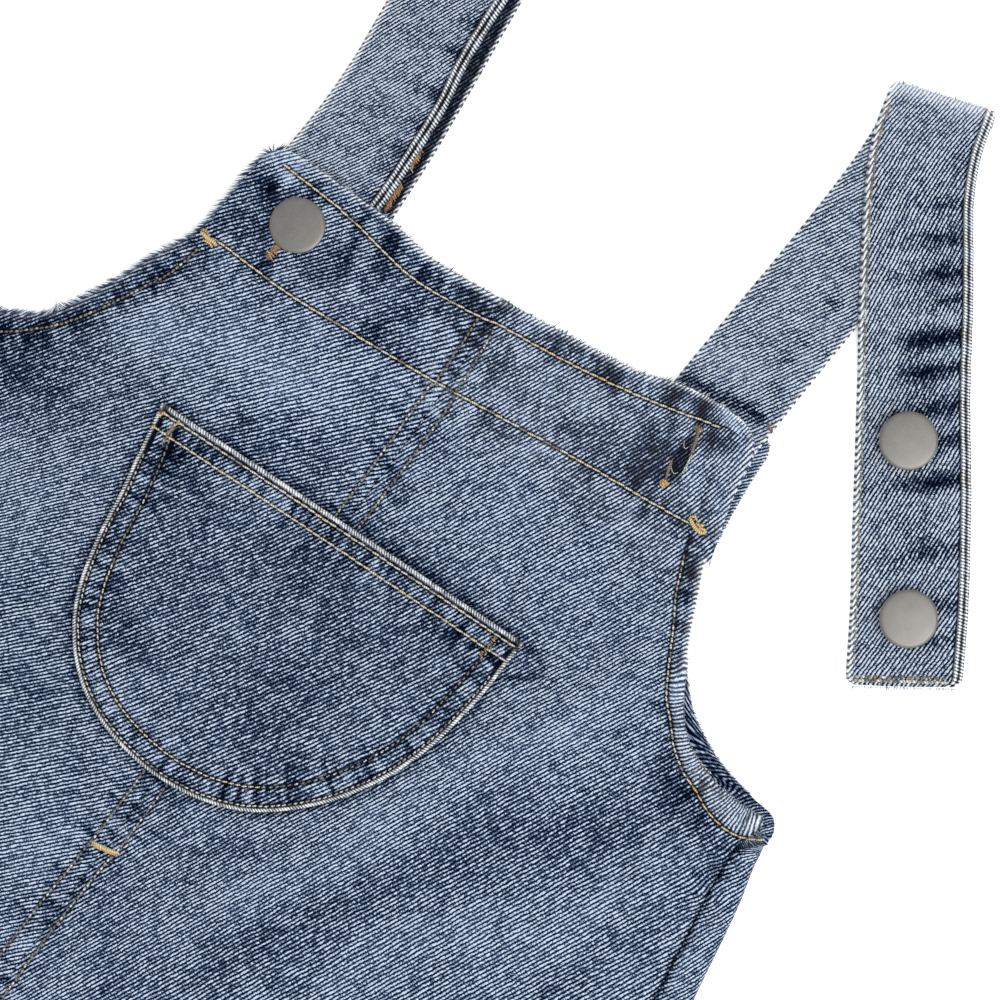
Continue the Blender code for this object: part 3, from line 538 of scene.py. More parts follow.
CREASES = [
    # height spread  points
    (1.5,  7.0, [(40, -182), (60, -150), (74, -110), (96, -70)]),
    (1.3,  7.5, [(136, -96), (120, -134), (84, -172)]),
    (0.9,  6.0, [(-108, -104), (-92, -132), (-84, -170)]),
    (1.1,  8.0, [(-60, -205), (-28, -226), (-6, -262)]),
    (0.8,  5.0, [(62, -206), (38, -232), (16, -268)]),
    (0.9,  6.0, [(112, -198), (92, -236), (88, -280)]),
    (1.3,  9.0, [(-132, -168), (-120, -214), (-132, -270)]),
    (2.2,  9.0, [(14, -366), (52, -346), (104, -340)]),
    (1.8,  8.0, [(-12, -362), (-58, -338), (-112, -336)]),
    (1.6,  8.0, [(24, -402), (58, -420), (84, -462)]),
    (1.9,  9.0, [(-20, -404), (-62, -428), (-80, -476)]),
    (1.4,  8.0, [(40, -532), (92, -546), (150, -538)]),
    (1.2,  7.0, [(46, -566), (100, -572), (138, -560)]),
    (1.5,  8.0, [(-42, -528), (-98, -540), (-160, -526)]),
    (1.0,  7.0, [(-52, -562), (-96, -570), (-140, -566)]),
    (1.1, 10.0, [(70, -610), (84, -690)]),
    (1.0, 10.0, [(-92, -600), (-78, -680)]),
]


# ===================================================================== numbers
def smoothstep(low, high, value):
    t = np.clip((np.asarray(value, float) - low) / (high - low), 0.0, 1.0)
    return t * t * (3.0 - 2.0 * t)


def plateau(value, low, high, soft):
    """1 from low to high, fading to 0 over soft beyond them."""
    return smoothstep(low - soft, low, value) * (1.0 - smoothstep(high, high + soft, value))


def bell(value, spread):
    """1 at 0, falling off to either side."""
    return np.exp(-(np.asarray(value, float) / spread) ** 2)


def catmull(rows, place):
    """Rows of a table at fractional places, on smooth curves through its rows."""
    rows = np.asarray(rows, float)
    place = np.atleast_1d(np.asarray(place, float))
    last = len(rows) - 1
    index = np.clip(place.astype(int), 0, last - 1)
    t = (place - index)[:, None]
    before, start, end, after = (rows[np.clip(index + k, 0, last)] for k in (-1, 0, 1, 2))
    return 0.5 * (2.0 * start + (end - before) * t
                  + (2.0 * before - 5.0 * start + 4.0 * end - after) * t ** 2
                  + (3.0 * start - before - 3.0 * end + after) * t ** 3)


def unit(ways):
    """The same directions with a length of 1."""
    return ways / np.maximum(np.linalg.norm(ways, axis=-1, keepdims=True), 1e-9)


def heading(degrees):
    """Directions in the plan at angles from +X."""
    turn = np.radians(degrees)
    return np.stack([np.cos(turn), np.sin(turn)], -1)


def left_of(ways):
    """Directions in the plan, a quarter turn to the left of others."""
    return np.stack([-ways[..., 1], ways[..., 0]], -1)


def run_of(points):
    """How far along a line of points each of them lies."""
    return np.concatenate([[0.0], np.cumsum(np.linalg.norm(np.diff(points, axis=0), axis=1))])


def read(rows, run, where):
    """A line's points at distances along its run."""
    return np.stack([np.interp(where, run, column) for column in np.transpose(rows)], -1)


def raised(plan, height):
    """Points of a plan at heights above the ground."""
    return np.concatenate([plan, np.asarray(height)[..., None]], -1)


def world(points):
    """Points of the lay frame, in metres in the row frame."""
    return (np.asarray(points, float) - (CENTRE_X, ORIGIN_Y, 0.0)) * MM


def noise(x, y, size, layer):
    """Smooth noise from -1 to 1 with features of that size."""
    u, v = np.asarray(x, float) / size, np.asarray(y, float) / size
    i, j = np.floor(u).astype(int), np.floor(v).astype(int)
    right, up = smoothstep(0.0, 1.0, u - i), smoothstep(0.0, 1.0, v - j)
    rows = [NOISE[layer][i % NOISE_SIZE, k % NOISE_SIZE] * (1 - right)
            + NOISE[layer][(i + 1) % NOISE_SIZE, k % NOISE_SIZE] * right for k in (j, j + 1)]
    return rows[0] * (1 - up) + rows[1] * up


def twill(x, y, angle, pitch):
    """Which of the weave's lines passes through points, counted across the lines."""
    ahead = heading(angle)
    return (np.asarray(y) * ahead[0] - np.asarray(x) * ahead[1]) / pitch


def front_twill(x, y, side):
    """The same on a front, whose lines lie closer in some places than in others."""
    places, pitches = np.array(TWILL_PITCHES[side]).T
    fine = np.linspace(-800.0, 300.0, 2201)
    count = np.cumsum((fine[1] - fine[0]) / np.interp(fine, places, pitches))
    return np.interp(twill(x, y, TWILL_ANGLE + GRAIN_TILTS[side], 1.0), fine, count)


class Path:
    """A smooth line through points of the lay frame, measured along its length."""

    def __init__(self, points, step=1.0):
        fine = catmull(points, np.linspace(0.0, len(points) - 1.0, 40 * len(points)))
        run = run_of(fine)
        self.length = run[-1]
        self.run = np.linspace(0.0, self.length, max(int(self.length / step), 2) + 1)
        self.points = read(fine, run, self.run)

    def at(self, along):
        """Points at distances along the line, and its direction there."""
        along = np.asarray(along)
        place, ahead, behind = (read(self.points, self.run, along + shift) for shift in (0.0, 0.6, -0.6))
        return place, unit(ahead - behind)

    def near(self, x, y):
        """How far points lie to the left of the line, and how far along it."""
        query = np.stack([np.ravel(x), np.ravel(y)], 1)
        start = self.points[:-1]
        step = np.diff(self.points, axis=0)
        square = (step ** 2).sum(1)
        away, along = np.empty(len(query)), np.empty(len(query))
        for first in range(0, len(query), 4000):
            part = slice(first, first + 4000)
            offset = query[part, None, :] - start
            t = np.clip((offset * step).sum(2) / square, 0.0, 1.0)
            far = ((offset - t[..., None] * step) ** 2).sum(2)
            best = far.argmin(1)
            row = np.arange(len(best))
            side = np.sign(step[best, 0] * offset[row, best, 1] - step[best, 1] * offset[row, best, 0])
            away[part] = side * np.sqrt(far[row, best])
            along[part] = self.run[best] + t[row, best] * np.sqrt(square[best])
        return away.reshape(np.shape(x)), along.reshape(np.shape(x))


PATHS = {name: Path(points) for name, points in SEAMS.items()}


def strokes(table, x, y):
    """The sum of a table's strokes at points."""
    return sum(amount * bell(Path(points, step=4.0).near(x, y)[0], spread)
               for amount, spread, points in table)


# ======================================================== where the cloth lies
def back_numbers():
    """The back's rows, in the front's columns; below the armhole both share them."""
    rows = []
    for name, left_x, left_y, mid_x, mid_y, right_x, right_y, inseam, fold in FRONT_ROWS:
        seam_x = right_x
        if name in BACK_ROWS:
            left_x, left_y, mid_y, right_x, right_y = BACK_ROWS[name]
            fold = right_x - seam_x
        else:
            right_x += fold
        rows.append((left_x, left_y, mid_x, mid_y, right_x, right_y, inseam, fold))
    return np.array(rows)


def row_ends(rows, places, side):
    """Inner and outer ends of rows on one side, -1 left and +1 right, and their fold."""
    left_x, left_y, mid_x, mid_y, right_x, right_y, inseam, fold = catmull(rows, places).T
    inner = np.stack([mid_x + side * (inseam + GAP / 2.0), mid_y], 1)
    outer = np.stack([left_x, left_y] if side < 0 else [right_x, right_y], 1)
    return inner, outer, fold


def corner_inset(depth, radius):
    """How far a rounded corner steps in at a depth below the edge."""
    depth = np.minimum(depth, radius)
    return radius - np.sqrt(radius ** 2 - (radius - depth) ** 2)


def front_plan(places, shares, side):
    """A front panel seen from above: a row for each place, a column for each share."""
    inner, outer, _ = row_ends(FRONT_NUMBERS, places, side)
    top_inner, top_outer, _ = row_ends(FRONT_NUMBERS, [0.0], side)
    inset = corner_inset(np.linalg.norm(outer - top_outer, axis=1), BIB_CORNERS[side])
    outer = outer - unit(outer - inner) * inset[:, None]
    plan = inner[:, None] + np.asarray(shares)[None, :, None] * (outer - inner)[:, None]
    fade = 1.0 - smoothstep(0.0, TOP_EDGE_REACH, top_inner[0, 1] - inner[:, 1])
    share = (plan[..., 0] - top_inner[0, 0]) / (top_outer[0, 0] - top_inner[0, 0])
    chord = top_inner[0, 1] + share * (top_outer[0, 1] - top_inner[0, 1])
    plan[..., 1] += fade[:, None] * (np.interp(plan[..., 0], *np.transpose(SEAMS["top_edge"])) - chord)
    return plan, np.linalg.norm(outer[:, None] - plan, axis=2)


def front_height(x, y):
    """Height of the front's upper face above the ground."""
    height = np.full(np.shape(x), FRONT_REST)
    for lift, x_from, x_to, y_from, y_to, soft in LIFTS:
        height += lift * plateau(x, x_from, x_to, soft) * plateau(y, y_from, y_to, soft)
    button_x, button_y, _ = BUTTON_PLACES["button_left_lower"]
    past = np.hypot(x - button_x, y - button_y) - HIDDEN_BUTTON_REACH
    return height + HIDDEN_BUTTON_LIFT * (1.0 - smoothstep(0.0, HIDDEN_BUTTON_SOFT, past))


def side_rise(places, to_edge, side):
    """What lifts the right side up to the back that wraps round it."""
    if side < 0:
        return 0.0
    beside = smoothstep(UNDERARM - 1.0, UNDERARM + 0.6, places)[:, None]
    return (SIDE_FOLD_HEIGHT - FRONT_REST) * beside * (1.0 - smoothstep(0.0, SIDE_SOFT, to_edge))


def pocket_outline():
    """The pocket seen from above, anticlockwise from its top left corner."""
    degrees, distance = catmull(POCKET_CURVE, np.linspace(0.0, len(POCKET_CURVE) - 1.0, 160)).T
    curve = POCKET_MIDDLE + distance[:, None] * heading(degrees)
    return np.concatenate([[POCKET_TOP_LEFT], curve, [POCKET_TOP_RIGHT]])


def inside_of(points, outline):
    """Which points lie inside a closed outline."""
    x, y = points.T
    inside = np.zeros(len(points), bool)
    for (x0, y0), (x1, y1) in zip(outline, np.roll(outline, -1, 0)):
        if y0 != y1:
            inside ^= ((y0 > y) != (y1 > y)) & (x < x0 + (x1 - x0) * (y - y0) / (y1 - y0))
    return inside


POCKET_LINE = pocket_outline()
POCKET_PATH = Path(np.concatenate([POCKET_LINE[::6], POCKET_LINE[-1:], POCKET_LINE[:1]]), step=1.5)


# =============================================== what hands and wearing made of it, and its painted light and shade
class Look:
    """How a front differs from its plain form, gathered place by place: what stands up (rise),
    its tone, faded and dark cloth with painted light and shade (tone), its pale worn edges, how far its
    weave lines are bent (twist), and the painted shade in its holes and slits, under its tacks and
    round the pocket (dark)."""

    def __init__(self, plan, side):
        x, y = self.x, self.y = plan[..., 0], plan[..., 1]
        self.side = side
        self.rise = strokes(CREASES, x, y) + 0.35 * (1.0 + noise(x, y, 26.0, 0)) + 0.12 * noise(x, y, 9.0, 1)
        # the strokes hold faded and dark cloth and the painted light and shade of creases and bumps
        self.tone = strokes(WEAR_AND_SHADE_STROKES, x, y) + 0.22 * noise(x, y, 30.0, 2) + 0.25 * noise(x, y, 9.0, 3)
        self.pale, self.twist, self.dark = (np.zeros(np.shape(x)) for _ in range(3))
        self.band()
        self.middle()
        self.armhole()
        if side > 0:
            self.corner()
            self.buttonhole()
        self.beside_pocket()
        self.leg_hem()

    def near(self, name):
        return PATHS[name].near(self.x, self.y)

    def stitched(self, name, where=1.0, fade_in=None):
        """Little ridges square to a row of stitches, painted lighter and darker as they rise and fall, and
        the groove that the row lies in.
        """
        size, reach, layer, lift, depth, width, tone_and_shade = SEAM_LOOKS[name]
        away, along = self.near(name)
        wave = noise(along + 0.35 * away, 0.18 * away, size, layer) * bell(away, reach)
        begun = smoothstep(0.0, fade_in, along) if fade_in else 1.0
        self.rise += (lift * wave * where - depth * bell(away, width)) * begun
        # painted light and shade on the puckers, following their rise
        self.tone += tone_and_shade * wave * begun
        return wave, away, along

    def band(self):
        """The bib's doubled hem: mottled, partly with painted light and shade on its puckers, darker just
        below its top edge, and with a pale worn upper edge.
        """
        x, y = self.x, self.y
        below_top = np.abs(self.near("top_edge")[0])
        hem = plateau(y, *BIB_HEM)
        wave, away, along = self.stitched("band_upper", where=hem)
        # the blotches follow the puckers: painted light and shade on them, with random mottling
        blotch = 1.45 * wave + 0.95 * noise(x, y, 6.0, 1)
        blotch += 1.4 * noise(along + 0.3 * away, 0.25 * away, 2.9, 0) * bell(away, 12.0)
        self.tone += (np.clip(blotch, -1.05, 1.3) - 0.38 * smoothstep(-20.0, 12.0, x)) * hem
        self.tone -= 0.8 * bell(below_top - 3.6, 3.0) * plateau(x, -34.0, 60.0, 8.0)
        self.pale += 0.05 * hem * smoothstep(-20.0, 10.0, x)
        self.pale += bell(below_top - 0.2, 0.6) * (0.6 + 0.5 * noise(x, y, 4.0, 6))
        away = self.stitched("band_lower")[1]
        self.rise += 0.35 * bell(away - 2.4, 1.6)
        self.tone += 0.25 * bell(away, 2.0)

    def middle(self):
        """The seam down the middle, between its two rows of stitches."""
        self.stitched("seam_left_row")
        self.stitched("seam_right_row")
        away = self.near("middle_seam")[0]
        # a groove down the seam, with painted shade in it
        self.rise -= 0.30 * bell(away, 0.9)
        self.tone -= 0.25 * bell(away, 1.0)

    def armhole(self):
        """The rolled hem between the armhole's edge and its stitches."""
        edge, edge_along = self.near("arm_edge_" + SIDES[self.side])
        inside = np.abs(edge)
        _, stitch, along = self.stitched("arm_stitch_" + SIDES[self.side], fade_in=ARM_FADE_IN)
        begun = smoothstep(0.0, ARM_FADE_IN, along)
        in_hem = begun * (inside < 10.0) * smoothstep(0.0, 1.5, stitch * self.side)
        across = inside / np.maximum(inside + np.abs(stitch), 0.5)
        roll = np.sin(np.pi * np.clip(across, 0.0, 1.0)) ** 0.7
        if self.side > 0:
            self.rise += 0.9 * in_hem * roll
            self.right_roll(inside, edge_along, along, begun, in_hem, roll)
        else:
            self.rise += 0.6 * in_hem * roll
            self.pale += 0.35 * bell(inside, 0.8) * begun
            self.tone -= 0.35 * in_hem
            self.bend_left_lines()

    def right_roll(self, inside, edge_along, along, begun, in_hem, roll):
        """The right armhole's hem: pale at its edge, its lower part rolled over and worn, with a painted
        shadow where its two rolls part and painted shade in the knob's hole and slit.
        """
        x, y = self.x, self.y
        worn = smoothstep(24.0, 36.0, edge_along)
        self.pale += in_hem * 0.22 * worn * roll + 1.60 * bell(inside, 1.5) * begun * (1.0 - 0.88 * worn)
        self.tone += in_hem * (0.70 * worn * roll - 0.45 * (1 - worn) * bell(inside - 4.5, 1.6))
        foot = PATHS["arm_stitch_right"].at(along)[0]
        bend = front_twill(foot[..., 0], foot[..., 1], 1) - front_twill(x, y, 1)
        self.twist += bend * in_hem * smoothstep(26.0, 40.0, edge_along)
        self.twist += 0.40 * np.maximum(1.8 - inside, 0.0) ** 2 * begun * (1.0 - worn)
        parting, run = self.near("roll_parting")
        # painted shadow in the gap where the two rolls part
        ends = plateau(run, 0.3, 6.6, 0.8)
        self.tone -= ends * 3.0 * bell(parting, 1.0)
        self.rise -= ends * 0.9 * bell(parting, 0.9)
        knob = np.hypot(x - KNOB[0], y - KNOB[1])
        self.rise += 1.1 * bell(knob, 2.6) - 1.3 * bell(np.hypot(x - KNOB_HOLE[0], y - KNOB_HOLE[1]), 0.9)
        # painted shade in the hole and the slit, which are only dents
        self.dark += 0.75 * bell(np.hypot(x - KNOB_HOLE[0], y - KNOB_HOLE[1] - 0.2), 1.0)
        self.dark += 0.70 * bell(self.near("knob_slit")[0], 0.5)
        self.pale += 0.55 * bell(knob - 2.2, 1.1)

    def bend_left_lines(self):
        """The left front's lines turn up towards its armhole."""
        slant = TWILL_ANGLE + GRAIN_TILTS[self.side]
        ahead = self.x * heading(slant)[0] + self.y * heading(slant)[1]
        higher = smoothstep(-52.0, 8.0, twill(self.x, self.y, slant, 1.0))
        self.twist -= (0.085 * (ahead + 85.0) - 0.0011 * np.maximum(-100.0 - ahead, 0.0) ** 2) * higher

    def corner(self):
        """The bib's right corner: fanned lines, its ridge and crease with painted shade in the crease, and
        the painted shade under the tacks.
        """
        x, y = self.x, self.y
        fan = 0.0022 * np.maximum(y + 50.0, 0.0) ** 2 - 1.5 * smoothstep(-110.0, -30.0, y)
        self.twist -= smoothstep(52.0, 84.0, x) * fan
        ridge = np.abs(self.near("corner_ridge")[0])
        self.pale += 0.38 * bell(ridge - 0.4, 0.7)
        self.tone += 0.8 * bell(ridge - 2.5, 3.0) * (y > -12.0) * (x > 66.0)
        fold, run = self.near("corner_crease")
        ends = plateau(run, 1.0, 14.0, 1.5)
        self.rise += ends * (0.35 * bell(fold - 1.4, 1.2) - 0.55 * bell(fold, 0.7))
        # painted shade in the crease's trough
        self.tone -= ends * 1.3 * bell(fold, 0.65)
        self.dark += 0.70 * bell(self.near("under_tack_right")[0], 1.3) * (x > 79.6) * (x < 89.5)
        self.dark += 0.60 * bell(self.near("under_tack_middle")[0], 1.2) * (x < 7.6)

    def buttonhole(self):
        """The right buttonhole: a slit that gapes, only dented, painted dark as the shade in its gap, with a
        pale and a dark side.
        """
        away, along = self.near("hole_right")
        share = np.clip(along / SLIT_LENGTH, 0.04, 0.97) ** 1.3
        wide = SLIT_WIDTH * np.sin(np.pi * share) ** 0.8
        slit = 1.0 - smoothstep(wide - 0.3, wide + 0.4, np.abs(away))
        self.rise -= 1.6 * slit
        # painted shade in the slit's gap
        self.dark += 0.84 * slit
        self.tone += 0.9 * bell(away - 3.8, 1.8) * plateau(along, 5.0, 14.0, 4.0)
        self.tone -= 0.8 * bell(away + 2.8, 1.6) * plateau(along, 2.0, 16.0, 3.0)

    def beside_pocket(self):
        """Dark cloth under the pocket, and the shade round its rim."""
        x, y = self.x, self.y
        under = inside_of(np.stack([x.ravel(), y.ravel()], 1), POCKET_LINE).reshape(np.shape(x))
        away = np.abs(POCKET_PATH.near(x, y)[0])
        self.tone -= 1.2 * np.where(under, 1.0, bell(away, 1.9))
        below = smoothstep(-84.0, -96.0, y) * (0.75 + 0.25 * noise(x, y, 7.0, 2))
        self.dark += np.where(under, 0.0, 0.62 * bell(away, 1.15) * (0.45 + 0.55 * below))

    def leg_hem(self):
        above_row = self.y - LEG_HEM_Y
        self.rise += 0.5 * (above_row < 0.0) - 0.5 * bell(above_row, 0.8)
        self.pale += 0.7 * bell(self.y - LEG_END_Y, 1.6)

    def beside_seam(self, places, to_edge):
        """The puckered right side seam, where the back comes round onto the front; its puckers get painted
        light and shade and its crease painted shade.
        """
        at_seam = plateau(places, UNDERARM + 0.15, 30.0, 0.3)[:, None]
        wave = noise(self.y, to_edge, 4.5, 4)
        self.twist += at_seam * noise(self.y, to_edge * 0.4, 6.5, 7) * bell(to_edge, 6.0)
        self.rise += at_seam * (-1.1 * bell(to_edge, 1.3) + 0.3 * bell(to_edge - 3.5, 2.5)
                                + 0.35 * wave * bell(to_edge - 2.5, 4.0))
        # painted light and shade on the puckers and painted shade in the seam's crease
        self.tone += at_seam * (0.6 * wave * bell(to_edge - 2.5, 5.0) - 1.8 * bell(to_edge, 0.9))


# ==================================================================== meshes
def piece(name, points, faces, material, slot, smooth=True, **fields):
    """A shown mesh object that rides on the body; fields are vectors for each point."""
    mesh = bpy.data.meshes.new(name)
    mesh.from_pydata(world(points).tolist(), [], [list(face) for face in faces])
    for field, values in fields.items():
        stored = mesh.attributes.new(field, "FLOAT_VECTOR", "POINT")
        stored.data.foreach_set("vector", np.asarray(values, np.float32).ravel())
    mesh.polygons.foreach_set("use_smooth", np.full(len(mesh.polygons), smooth))
    mesh.materials.append(material)
    made = bpy.data.objects.new(name, mesh)
    bpy.context.scene.collection.objects.link(made)
    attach(made, "root")
    return made


def vectors(*channels):
    """Three channels side by side, a row for each point."""
    return np.stack(np.broadcast_arrays(*channels), -1).reshape(-1, 3)


def no_seams(count):
    """Seam fields for cloth without rows of stitches."""
    far = np.full((count, 3), SEAM_FAR)
    return {"seam_a": far, "seam_b": far, "run_a": 0.0 * far, "run_b": 0.0 * far}


def seam_fields(names, x, y):
    """Signed distances from seams, far away past their ends, and the runs along them."""
    found = [PATHS[name].near(x, y) for name in names]
    past = [(along <= 0.0) | (along >= PATHS[name].length) for name, (_, along) in zip(names, found)]
    away = [np.where(end, np.abs(far) + 1.0, np.clip(far, -SEAM_FAR, SEAM_FAR))
            for end, (far, _) in zip(past, found)]
    return vectors(*away), vectors(*(along for _, along in found))


def grid_faces(rows, columns):
    row, column = np.meshgrid(np.arange(rows - 1), np.arange(columns - 1), indexing="ij")
    first = (row * columns + column).ravel()
    return np.stack([first, first + 1, first + columns + 1, first + columns], 1)


def grid_normals(points):
    return unit(np.cross(np.gradient(points, axis=0), np.gradient(points, axis=1)))


def grid_loop(rows, columns):
    """The boundary of a grid in order, and for each point the one next to it inside."""
    index = np.arange(rows * columns).reshape(rows, columns)
    loop = np.concatenate([index[0, :-1], index[:-1, -1], index[-1, :0:-1], index[:0:-1, 0]])
    within = np.concatenate([index[1, :-1], index[:-1, -2], index[-2, :0:-1], index[:0:-1, 1]])
    return loop, within


def shell(outer, thickness, flip=False, normals=None):
    """A closed shell under a grid of points, with a rounded rim.

    Returns its points, its faces and, for each point, the grid point it belongs to.
    """
    rows, columns = outer.shape[:2]
    if normals is None:
        normals = grid_normals(outer) * (-1.0 if flip else 1.0)
    inner = outer - normals * np.broadcast_to(thickness, (rows, columns))[..., None]
    outer, inner = outer.reshape(-1, 3), inner.reshape(-1, 3)
    loop, within = grid_loop(rows, columns)
    reach = 0.35 * np.linalg.norm(outer[loop] - inner[loop], axis=1, keepdims=True)
    rim = 0.5 * (outer[loop] + inner[loop]) + unit(outer[loop] - outer[within]) * reach
    count = rows * columns
    top = grid_faces(rows, columns)
    ring = np.arange(len(loop)) + 2 * count
    after, ring_after = np.roll(loop, -1), np.roll(ring, -1)
    upper = np.stack([after, loop, ring, ring_after], 1)
    lower = np.stack([ring_after, ring, loop + count, after + count], 1)
    faces = np.concatenate([top, top[:, ::-1] + count, upper, lower])
    source = np.concatenate([np.arange(count), np.arange(count), loop])
    return np.concatenate([outer, inner, rim]), faces if flip else faces[:, ::-1], source


def turned(points, degrees):
    """Cloth coordinates: the plan turned so that the weave's warp runs along Y."""
    ahead = heading(degrees)
    return np.stack([points @ ahead, points @ left_of(ahead)], -1)


def panel_places(fine, coarse):
    """Where a panel's rows lie: fine down to the hip and coarse below, most of it out of view."""
    places = list(TOP_PLACES)
    for index in range(len(FRONT_ROWS) - 1):
        here, there = FRONT_NUMBERS[index], FRONT_NUMBERS[index + 1]
        longest = max(math.hypot(there[k] - here[k], there[k + 1] - here[k + 1]) for k in (0, 2, 4))
        count = max(int(round(longest / (fine if index < HIP else coarse))), 1)
        places += [index + part / count for part in range(count)]
    return np.unique(np.round(places + [len(FRONT_ROWS) - 1.0], 5))


def front_panel(name, side, material):
    places = panel_places(1.25, 5.0)
    shares = np.concatenate([np.linspace(*columns) for columns in FRONT_COLUMNS[side]])
    plan, to_edge = front_plan(places, np.unique(np.round(shares, 5)), side)
    x, y = plan[..., 0], plan[..., 1]
    look = Look(plan, side)
    if side > 0:
        look.beside_seam(places, to_edge)
    height = front_height(x, y) + side_rise(places, to_edge, side) + look.rise - 0.35 * bell(to_edge, 0.5)
    doubled = smoothstep(-37.0, -33.0, y)
    points, faces, source = shell(raised(plan, height), CLOTH * (1.0 + 0.9 * doubled), flip=side < 0)
    seam_a, run_a = seam_fields(("band_lower", "band_upper", "arm_stitch_" + SIDES[side]), x, y)
    seam_b, run_b = seam_fields(("seam_left_row", "seam_right_row", "hem_leg"), x, y)
    cloth = raised(turned(plan, GRAIN_TILTS[side]), front_twill(x, y, side) + look.twist)
    fields = {"cloth": cloth.reshape(-1, 3), "wear": vectors(look.tone, look.pale, look.dark),
              "seam_a": seam_a, "run_a": run_a, "seam_b": seam_b, "run_b": run_b}
    return piece(name, points, faces, material, "denim_body",
                 **{field: values[source] for field, values in fields.items()})


def back_section(places, shares, side):
    """Points of a back panel's outer face, which lies on the ground; as in the part's source."""
    inner, outer, fold = row_ends(back_numbers(), places, side)
    shares = np.asarray(shares)[None, :]
    if side < 0:
        flat = inner[:, None] + shares[..., None] * (outer - inner)[:, None]
        return raised(flat, np.zeros(flat.shape[:2])), np.zeros(flat.shape[:2])
    depth = np.linalg.norm(outer - outer[0], axis=1)
    outer[:, 0] -= corner_inset(depth, BACK_CORNER_RIGHT) * (1.0 - smoothstep(0.5, 1.5, places))
    radius = 0.5 * SIDE_FOLD_HEIGHT
    strip = math.pi * radius + np.maximum(fold - radius - GAP, 0.0)
    folded = smoothstep(UNDERARM, UNDERARM + 1.0, places)
    flat_end = (outer[:, 0] - strip + folded * (strip - radius))[:, None]
    within = np.minimum(shares, 1.0)
    x_flat = inner[:, :1] + (flat_end - inner[:, :1]) * within
    y = inner[:, 1:] + (outer[:, 1:] - inner[:, 1:]) * within
    travel = np.maximum(shares - 1.0, 0.0) * strip[:, None]
    angle = np.minimum(travel / radius, math.pi)
    over = np.maximum(travel - math.pi * radius, 0.0)
    curl_x = outer[:, :1] - radius + radius * np.sin(angle) - over
    curl_z = radius * (1.0 - np.cos(angle))
    beyond = (shares > 1.0) * folded[:, None]
    x = np.where(shares > 1.0, flat_end + travel, x_flat)
    return np.stack([x + (curl_x - x) * beyond, y, curl_z * beyond], 2), travel


def strip_angles(places):
    """Which way the weave runs on the back where it shows beyond the right armhole."""
    return np.interp(places, *np.transpose(STRIP_LINES))


def strip_twill(places, points):
    """Lines of the weave on that strip, which turn as the armhole curves."""
    across = left_of(heading(strip_angles(places))) / STRIP_PITCH
    middle = points[:, -1, :2] - (3.0, 0.0)
    step = np.einsum("ij,ij->i", 0.5 * (across[1:] + across[:-1]), np.diff(middle, axis=0))
    count = np.concatenate([[0.0], np.cumsum(step)])
    return count[:, None] + np.einsum("ij,ikj->ik", across, points[..., :2] - middle[:, None])


def wrapped_lines(outer, travel, places):
    """Cloth coordinates and weave lines of the right back, whose edge comes round to the front."""
    bend = math.pi * SIDE_FOLD_HEIGHT / 2.0
    x, y = outer[..., 0], outer[..., 1]
    flat_end = x[:, BACK_COLUMNS - 1:BACK_COLUMNS]
    x = np.where(travel > 0.0, flat_end + bend - travel, 2.0 * flat_end + bend - x)
    lines = twill(x, y, BACK_LINES, PLAIN_PITCH)
    strip_lines = strip_twill(places, outer)
    last = np.abs(places - UNDERARM - 0.5).argmin()
    strip_lines += lines[last, -1] - strip_lines[last, -1]
    strip = 1.0 - smoothstep(UNDERARM + 0.35, UNDERARM + 0.65, places)[:, None]
    folded = smoothstep(UNDERARM + 0.3, UNDERARM + 1.0, places)[:, None]
    to_seam = travel.max(1, keepdims=True) - travel
    lines = lines + (strip_lines - lines) * strip
    return x, y, lines + folded * noise(y, travel * 0.4, 6.5, 7) * bell(to_seam, 6.0)


def back_panel(name, side, material):
    shares = np.linspace(0.0, 1.0, BACK_COLUMNS)
    if side > 0:
        shares = np.concatenate([shares, np.linspace(1.0, 2.0, STRIP_COLUMNS)[1:]])
    places = panel_places(1.6, 6.0)
    outer, travel = back_section(places, shares, side)
    x, y = outer[..., 0], outer[..., 1]
    tone = 0.25 * noise(x, y, 30.0, 2) + 0.2 * noise(x, y, 11.0, 3)
    above = 1.0 - smoothstep(UNDERARM - 0.5, UNDERARM + 0.5, places)[:, None]
    if side > 0:
        on_top = smoothstep(UNDERARM + 0.3, UNDERARM + 1.0, places)[:, None] * smoothstep(4.0, 9.0, travel)
        to_seam = travel.max(1, keepdims=True) - travel
        wave = noise(y + 0.5 * travel, travel, 4.2, 5)
        outer[..., 2] += on_top * (-0.9 * bell(to_seam, 1.3) + 0.3 * (wave + 0.4))
        # painted light and shade on the side seam's puckers and painted shade in its crease
        tone += on_top * (0.18 + 0.6 * wave - 1.5 * bell(to_seam, 0.8))
        tone -= 1.15 * above * smoothstep(2.0, 4.0, places)[:, None]
        x, y, lines = wrapped_lines(outer, travel, places)
    else:
        x = -x
        lines = twill(x, y, TWILL_ANGLE, PLAIN_PITCH)
    points, faces, source = shell(outer, CLOTH, flip=side > 0)
    from_edge = 100.0 * np.linspace(1.0, 0.0, outer.shape[1])
    wear = vectors(tone, 0.6 * above * bell(from_edge, 1.5), 0.0)
    return piece(name, points, faces, material, "denim_body",
                 cloth=vectors(x, y, lines)[source], wear=wear[source], **no_seams(len(source)))


# ------------------------------------------------------------------ the pocket
def straight(points, step):
    """A broken line with its corners kept, divided into equal steps."""
    run = run_of(points)
    return read(points, run, np.linspace(0.0, run[-1], int(run[-1] / step) + 1))


